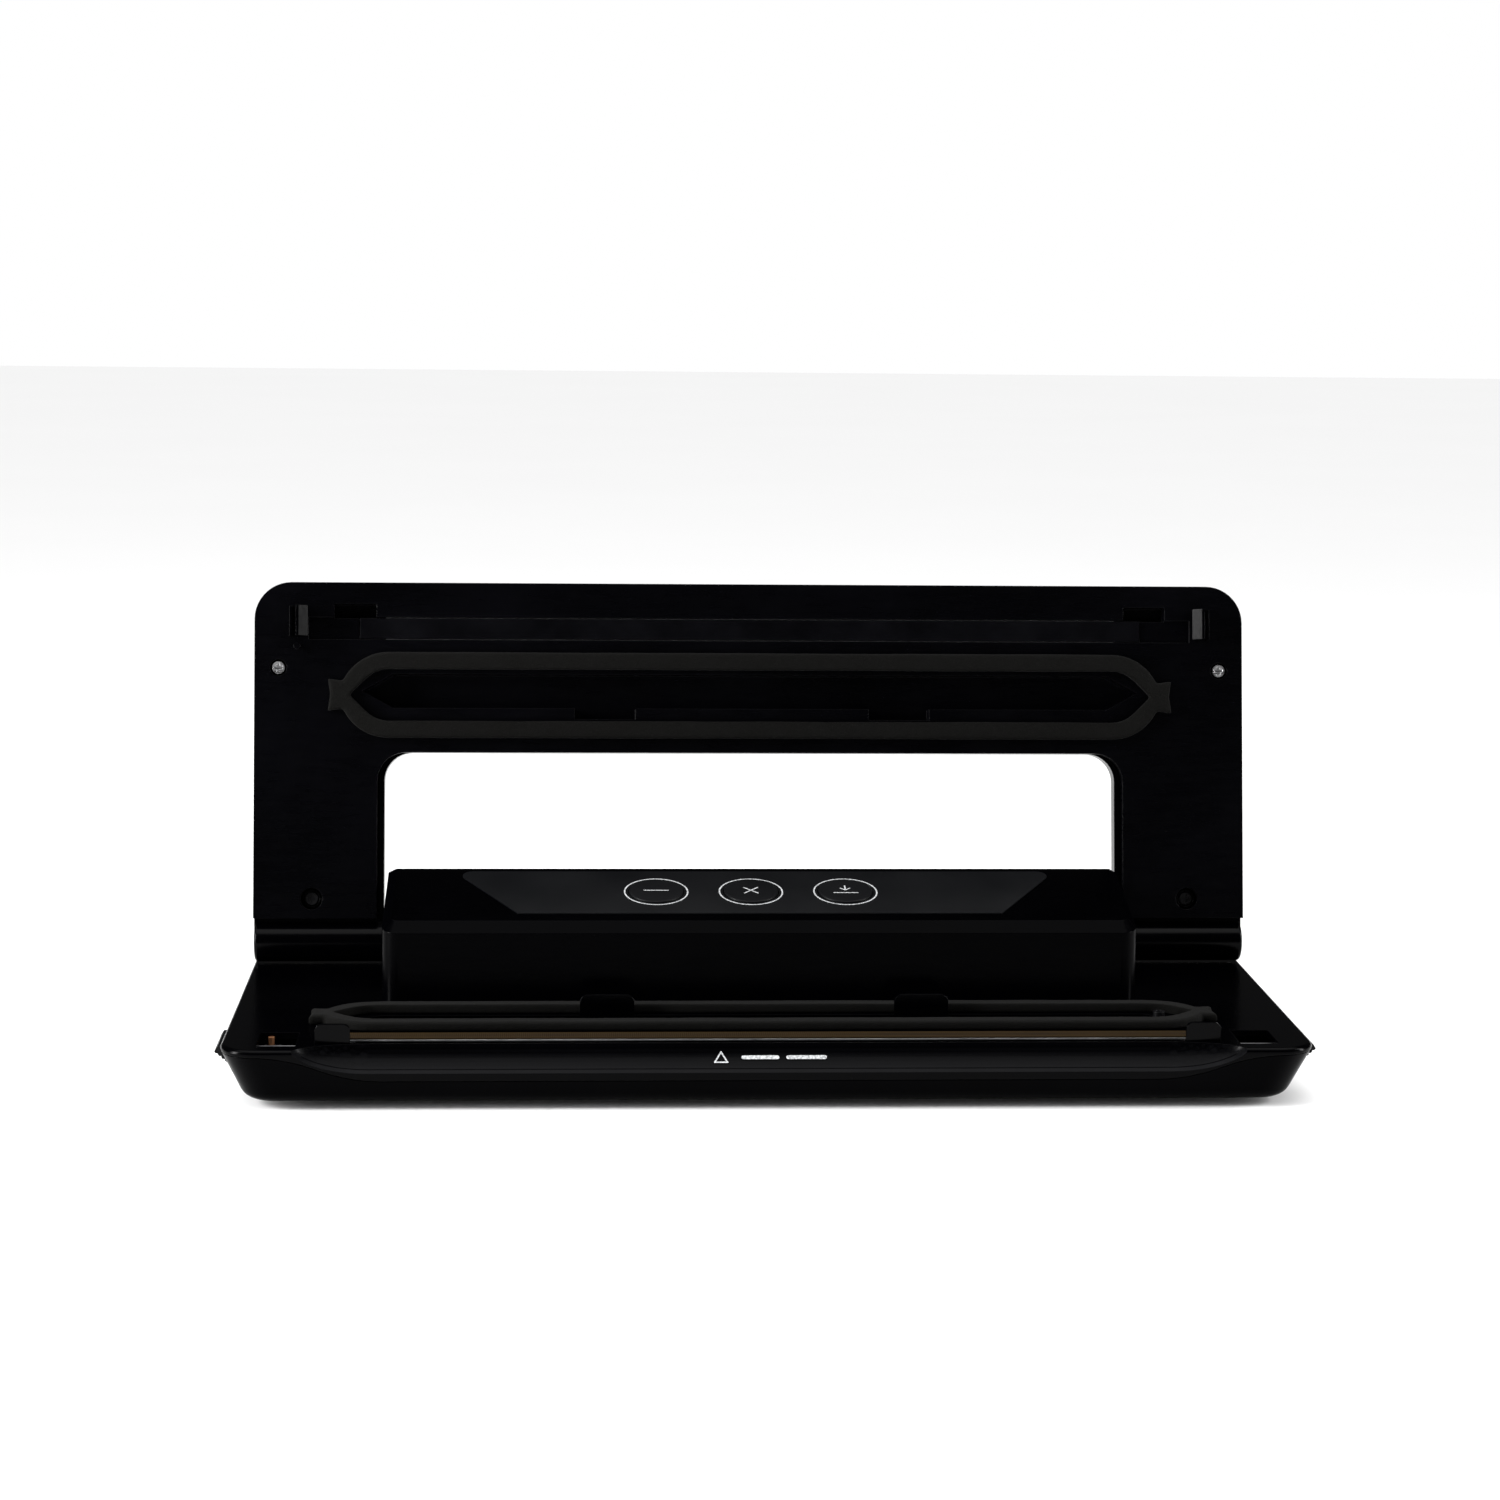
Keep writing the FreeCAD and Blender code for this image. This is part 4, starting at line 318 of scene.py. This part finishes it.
gloss_black = moulded_plastic("gloss_black_plastic", (0.0001, 0.0001, 0.0002), 0.16, 0.24, 0.05)
base_black = moulded_plastic("base_gloss_plastic", (0.0001, 0.0001, 0.0002), 0.18, 0.26, 0.015)
lid_black = moulded_plastic("lid_black_plastic", (0.0003, 0.0003, 0.0005), 0.24, 0.34, 0.05)
satin_black = moulded_plastic("satin_black_plastic", (0.001, 0.001, 0.0012), 0.34, 0.46, 0.1, 1800, 0.02 * MM)
works_black = moulded_plastic("inner_works_plastic", (0.05, 0.05, 0.052), 0.45, 0.6, 0.4, 1500, 0.03 * MM)
deck_black = lip_plastic()
film = panel_film()
foam = gasket_foam()
tape = sealing_tape()
silicone = soft_rubber("pressure_bar_silicone", (0.0003, 0.0003, 0.0006), 0.36, 0.5, 0.05)
rubber = soft_rubber("black_rubber", (0.006, 0.006, 0.006), 0.6, 0.8, 0.2)
blacked_steel = worked_metal("blacked_steel", (0.02, 0.02, 0.021), 0.3, 0.5)
zinc_steel = worked_metal("zinc_plated_steel", (0.62, 0.62, 0.63), 0.22, 0.4)
spring_steel = worked_metal("spring_steel", (0.5, 0.5, 0.52), 0.25, 0.4)
aluminium = worked_metal("extruded_aluminium", (0.7, 0.71, 0.72), 0.3, 0.45)
copper = worked_metal("copper_plunger", (0.72, 0.33, 0.16), 0.25, 0.4)
board_green = circuit_board()
ink = print_ink()

FINISHES = {
    "lower_housing": base_black, "deck_cover": deck_black, "control_housing": base_black,
    "lid_outer_cover": gloss_black, "lid_inner_panel": lid_black, "vacuum_trough": base_black,
    "bag_stops": gloss_black, "bag_guides": gloss_black, "air_inlet_nozzle": satin_black,
    "right_latch_hook": gloss_black, "left_latch_hook": gloss_black,
    "right_release_button": satin_black, "left_release_button": satin_black,
    "mains_inlet": satin_black, "control_overlay": film,
    "key_seal": film, "key_cancel": film, "key_vacuum": film,
    "seal_tape": tape, "pressure_bar": silicone,
    "rubber_feet": rubber, "suction_hose": rubber, "piston_cup": rubber,
    "bottom_screws": zinc_steel, "lid_screws": zinc_steel, "right_hinge_pin": blacked_steel,
    "left_hinge_pin": blacked_steel, "motor_shaft": zinc_steel, "eccentric": zinc_steel,
    "pump_motor": zinc_steel, "transformer": zinc_steel, "mains_pins": zinc_steel,
    "pump_bracket": zinc_steel, "lid_arm_screws": blacked_steel,
    "seal_bar": aluminium, "pressure_bar_holder": aluminium,
    "pump_cylinder": aluminium, "heating_wire": spring_steel,
    "right_latch_spring": spring_steel, "left_latch_spring": spring_steel,
    "lid_switch_plunger": copper, "control_board": board_green, "power_board": board_green,
    "tact_switches": works_black, "right_latch_slider": works_black, "left_latch_slider": works_black,
    "connecting_rod": works_black, "hinge_bushings": works_black, "lid_switch": works_black,
    "board_components": works_black, "vent_valve": works_black, "vent_valve_plunger": works_black,
}


def finish_nodes():
    """Give every kept node its finish."""
    for name, material in FINISHES.items():
        mesh = nodes[name].data
        mesh.materials.clear()
        mesh.materials.append(material)


# ---------------------------------------------------------------- foam gaskets

def gasket(name, node, body):
    """A foam gasket grown from its plain solid: soft edges and uneven width."""
    mesh = nodes[node].data.copy()
    mesh.name = name
    form = bmesh.new()
    form.from_mesh(mesh)
    bmesh.ops.remove_doubles(form, verts=form.verts, dist=0.01 * MM)
    bmesh.ops.recalc_face_normals(form, faces=form.faces)
    form.to_mesh(mesh)
    form.free()
    mesh.materials.clear()
    mesh.materials.append(foam)
    piece = bpy.data.objects.new(name, mesh)
    bpy.context.scene.collection.objects.link(piece)
    grow = piece.modifiers.new("even_mesh", "REMESH")
    grow.mode = "VOXEL"
    grow.voxel_size = FOAM_MESH
    soft = piece.modifiers.new("soft_edges", "SMOOTH")
    soft.iterations = 4
    soft.factor = 0.5
    for label, size, strength in FOAM_LUMPS:
        lumps = bpy.data.textures.new(f"{name}_{label}", "CLOUDS")
        lumps.noise_scale = size
        push = piece.modifiers.new(label, "DISPLACE")
        push.texture = lumps
        push.texture_coords = "LOCAL"
        push.strength = strength
        push.mid_level = 0.62
    settle(piece)
    for face in piece.data.polygons:
        face.use_smooth = True
    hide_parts(node)
    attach(piece, body)
    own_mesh(piece)
    return piece


def settle(piece):
    """Apply a piece's modifiers, so that its mesh is final."""
    graph = bpy.context.evaluated_depsgraph_get()
    final = bpy.data.meshes.new_from_object(piece.evaluated_get(graph))
    final.name = piece.name
    piece.modifiers.clear()
    piece.data = final


FOAM_MESH = 0.6 * MM
# The foam's lumps: their name, size and height.
FOAM_LUMPS = (("cells", 1.6 * MM, 0.12 * MM), ("waves", 30 * MM, 0.3 * MM))


# ---------------------------------------------------------------- printed marks

def mark(name, form, body, place):
    """Finish a flat printed mark: print colour, place in the mesh, and the body it rides on."""
    mesh = bpy.data.meshes.new(name)
    form.transform(place)
    bmesh.ops.recalc_face_normals(form, faces=form.faces)
    form.to_mesh(mesh)
    form.free()
    mesh.materials.append(ink)
    piece = bpy.data.objects.new(name, mesh)
    bpy.context.scene.collection.objects.link(piece)
    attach(piece, body)
    return piece


def add_stroke(form, start, end, width):
    """A flat stroke with round ends between two points."""
    first, last = Vector((*start, 0)), Vector((*end, 0))
    run = last - first
    disc = bmesh.ops.create_circle(form, cap_ends=True, segments=24, radius=width / 2)["verts"]
    split = [vert for vert in disc if vert.co.x > -1e-9]
    for vert in split:
        vert.co.x += run.length
    turn = Matrix.Rotation(math.atan2(run.y, run.x), 3, "Z")
    for vert in disc:
        vert.co = turn @ vert.co + first


def add_ring(form, middle, radius, width):
    """A flat ring, spun from one short edge."""
    near = form.verts.new((middle[0] + radius - width / 2, middle[1], 0))
    far = form.verts.new((middle[0] + radius + width / 2, middle[1], 0))
    edge = form.edges.new((near, far))
    bmesh.ops.spin(form, geom=[near, far, edge], cent=(*middle, 0), axis=(0, 0, 1),
                   angle=2 * math.pi, steps=96, use_merge=True)


def thicken(form, depth):
    """Give a flat mark the thickness of its ink."""
    faces = form.faces[:]
    grown = bmesh.ops.extrude_face_region(form, geom=faces)
    raised = [item for item in grown["geom"] if isinstance(item, bmesh.types.BMVert)]
    bmesh.ops.translate(form, verts=raised, vec=(0, 0, depth))


KEY_SYMBOLS = {
    "key_seal": [((-4.5, 0), (4.5, 0))],
    "key_cancel": [((-2.6, -2.6), (2.6, 2.6)), ((-2.6, 2.6), (2.6, -2.6))],
    "key_vacuum": [
        ((-4.5, -2.2), (4.5, -2.2)), ((0, 4.2), (0, 0.2)), ((0, 0.2), (-1.7, 1.9)), ((0, 0.2), (1.7, 1.9)),
    ],
}
INK_THICK = 0.03 * MM
STROKE = 0.55 * MM
RING_RADIUS = 12.0 * MM


def panel_place(node):
    """The place and slope of the top face of a key."""
    low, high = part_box(node)
    middle = (low + high) / 2
    normal = Vector((0, -math.sin(PANEL_SLOPE), math.cos(PANEL_SLOPE)))
    top = max((Vector(vert.co) - middle).dot(normal) for vert in nodes[node].data.vertices)
    rim = [
        vert.co for vert in nodes[node].data.vertices
        if (Vector(vert.co) - middle).dot(normal) > top - 0.05 * MM
    ]
    across = (max(point.x for point in rim) + min(point.x for point in rim)) / 2
    along = Vector((0, math.cos(PANEL_SLOPE), math.sin(PANEL_SLOPE)))
    steps = [Vector(point).dot(along) for point in rim]
    centre = along * ((max(steps) + min(steps)) / 2) + normal * (middle.dot(normal) + top)
    centre.x = across
    return Matrix.Translation(centre) @ Matrix.Rotation(PANEL_SLOPE, 4, "X")


def key_marks():
    """A printed ring round each key and a plain sign on it."""
    for node, strokes in KEY_SYMBOLS.items():
        place = panel_place(node)
        sign = bmesh.new()
        for start, end in strokes:
            add_stroke(sign, [part * MM for part in start], [part * MM for part in end], STROKE)
        thicken(sign, INK_THICK)
        mark(node + "_sign", sign, node, place @ Matrix.Translation((0, 0, INK_THICK)))
        ring = bmesh.new()
        add_ring(ring, (0, 0), RING_RADIUS, STROKE)
        thicken(ring, INK_THICK)
        mark(node + "_ring", ring, "base", place @ Matrix.Translation((0, 0, INK_THICK - KEY_PROUD)))


# How far the keys stand above the overlay.
KEY_PROUD = 0.6 * MM

# The lip's sign: how far it stands above the lip, how far left of the middle it starts, and where
# around the lip's axis it sits.
LIP_MARK_LIFT = 0.2 * MM
LIP_MARK_SHIFT = 18.0 * MM
LIP_MARK_ANGLE = math.radians(-36)
LIP_TRIANGLE_SIDE = 4.6 * MM
LIP_BAR_WIDTH = 1.5 * MM
# How far up the triangle the bars lie, and where each bar starts and ends, in millimetres.
LIP_BAR_LEVEL = 0.42
LIP_BARS = ((8.0, 20.0), (24.0, 37.0))


def lip_mark():
    """A plain triangle and two bars printed in the hollow of the front lip."""
    form = bmesh.new()
    side = LIP_TRIANGLE_SIDE
    height = side * LIP_BAR_LEVEL
    corners = [(0, side * 0.87), (-side / 2, 0), (side / 2, 0)]
    for start, end in zip(corners, corners[1:] + corners[:1]):
        add_stroke(form, start, end, STROKE)
    for start, end in LIP_BARS:
        add_stroke(form, (start * MM, height), (end * MM, height), LIP_BAR_WIDTH)
    bmesh.ops.subdivide_edges(form, edges=form.edges, cuts=2, use_grid_fill=True)
    bmesh.ops.triangulate(form, faces=form.faces)
    deck_low, deck_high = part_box("deck_cover")
    axis_y = deck_low.y - LIP_RADIUS * 0.2
    axis_z = deck_high.z + LIP_RADIUS * 0.223
    for vert in form.verts:
        angle = LIP_MARK_ANGLE + (vert.co.y - height) / LIP_RADIUS
        reach = LIP_RADIUS - LIP_MARK_LIFT
        across = vert.co.x - LIP_MARK_SHIFT
        vert.co = Vector((across, axis_y + reach * math.cos(angle), axis_z + reach * math.sin(angle)))
    mark("lip_sign", form, "base", Matrix.Identity(4))


# ---------------------------------------------------------------- floor, lights and camera

def floor():
    """A plain pale floor."""
    form = bmesh.new()
    bmesh.ops.create_grid(form, x_segments=1, y_segments=1, size=6)
    mesh = bpy.data.meshes.new("floor")
    form.to_mesh(mesh)
    form.free()
    material, tree, shader, coords = start_material("pale_floor", (0.86, 0.86, 0.86), 0.9, specular=0.1)
    tree.links.new(blend_colors(tree, noise(tree, coords, 3), (0.85, 0.85, 0.85), (0.87, 0.87, 0.87)),
                   shader.inputs["Base Color"])
    mesh.materials.append(material)
    ground = bpy.data.objects.new("floor", mesh)
    bpy.context.scene.collection.objects.link(ground)


def lamp(name, place, target, size, power):
    """A soft rectangular lamp that faces a point."""
    light = bpy.data.lights.new(name, "AREA")
    light.shape = "RECTANGLE"
    light.size, light.size_y = size
    light.energy = power
    stand = bpy.data.objects.new(name, light)
    stand.location = place
    stand.rotation_euler = (Vector(target) - Vector(place)).to_track_quat("-Z", "Y").to_euler()
    bpy.context.scene.collection.objects.link(stand)


def studio():
    """A white room that is dim to the object, a soft lamp overhead and a tall softbox at each side."""
    world = bpy.data.worlds.new("studio")
    bpy.context.scene.world = world
    world.use_nodes = True
    tree = world.node_tree
    backdrop = tree.nodes["Background"]
    backdrop.inputs["Color"].default_value = (1, 1, 1, 1)
    path = tree.nodes.new("ShaderNodeLightPath")
    level = tree.nodes.new("ShaderNodeMapRange")
    level.inputs["To Min"].default_value = ROOM_LIGHT
    level.inputs["To Max"].default_value = 1.0
    tree.links.new(path.outputs["Is Camera Ray"], level.inputs["Value"])
    tree.links.new(level.outputs["Result"], backdrop.inputs["Strength"])
    sky = bpy.data.lights.new("overhead", "SUN")
    sky.energy = OVERHEAD_LIGHT
    sky.angle = OVERHEAD_SPREAD
    sky_stand = bpy.data.objects.new("overhead", sky)
    bpy.context.scene.collection.objects.link(sky_stand)
    lamp("left_softbox", (-1.1, -0.35, 0.35), (-0.15, 0, 0.06), (0.2, 0.9), LEFT_SOFTBOX_POWER)
    lamp("right_softbox", (1.1, -0.2, 0.35), (0.15, 0, 0.06), (0.16, 0.9), RIGHT_SOFTBOX_POWER)
    bpy.context.scene.view_settings.view_transform = "Standard"


# Strength of the room as the object sees it; the camera sees it as plain white.
ROOM_LIGHT = 0.04
LEFT_SOFTBOX_POWER = 36
RIGHT_SOFTBOX_POWER = 16
OVERHEAD_SPREAD = math.radians(70)
OVERHEAD_LIGHT = 3.3

CAMERA_PLACE = Vector((-74.0, -1214.9, 310.1)) * MM
CAMERA_YAW = 0.0572
CAMERA_PITCH = -0.1573
CAMERA_ROLL = 0.0113
CAMERA_LENS = 78.885


def camera():
    """The camera, from its place, heading, tilt and roll."""
    view = bpy.data.cameras.new("camera")
    view.lens = CAMERA_LENS
    view.sensor_width = 36
    stand = bpy.data.objects.new("camera", view)
    level = math.cos(CAMERA_PITCH)
    forward = Vector((math.sin(CAMERA_YAW) * level, math.cos(CAMERA_YAW) * level, math.sin(CAMERA_PITCH)))
    sideways = Vector((math.cos(CAMERA_YAW), -math.sin(CAMERA_YAW), 0))
    upright = sideways.cross(forward)
    right = math.cos(CAMERA_ROLL) * sideways + math.sin(CAMERA_ROLL) * upright
    above = -math.sin(CAMERA_ROLL) * sideways + math.cos(CAMERA_ROLL) * upright
    turn = Matrix((right, above, -forward)).transposed()
    stand.matrix_world = Matrix.Translation(CAMERA_PLACE) @ turn.to_4x4()
    bpy.context.scene.collection.objects.link(stand)
    bpy.context.scene.camera = stand


finish_nodes()
gasket("lower_gasket_foam", "lower_gasket", "base")
gasket("upper_gasket_foam", "upper_gasket", "lid")
key_marks()
lip_mark()
floor()
studio()
camera()
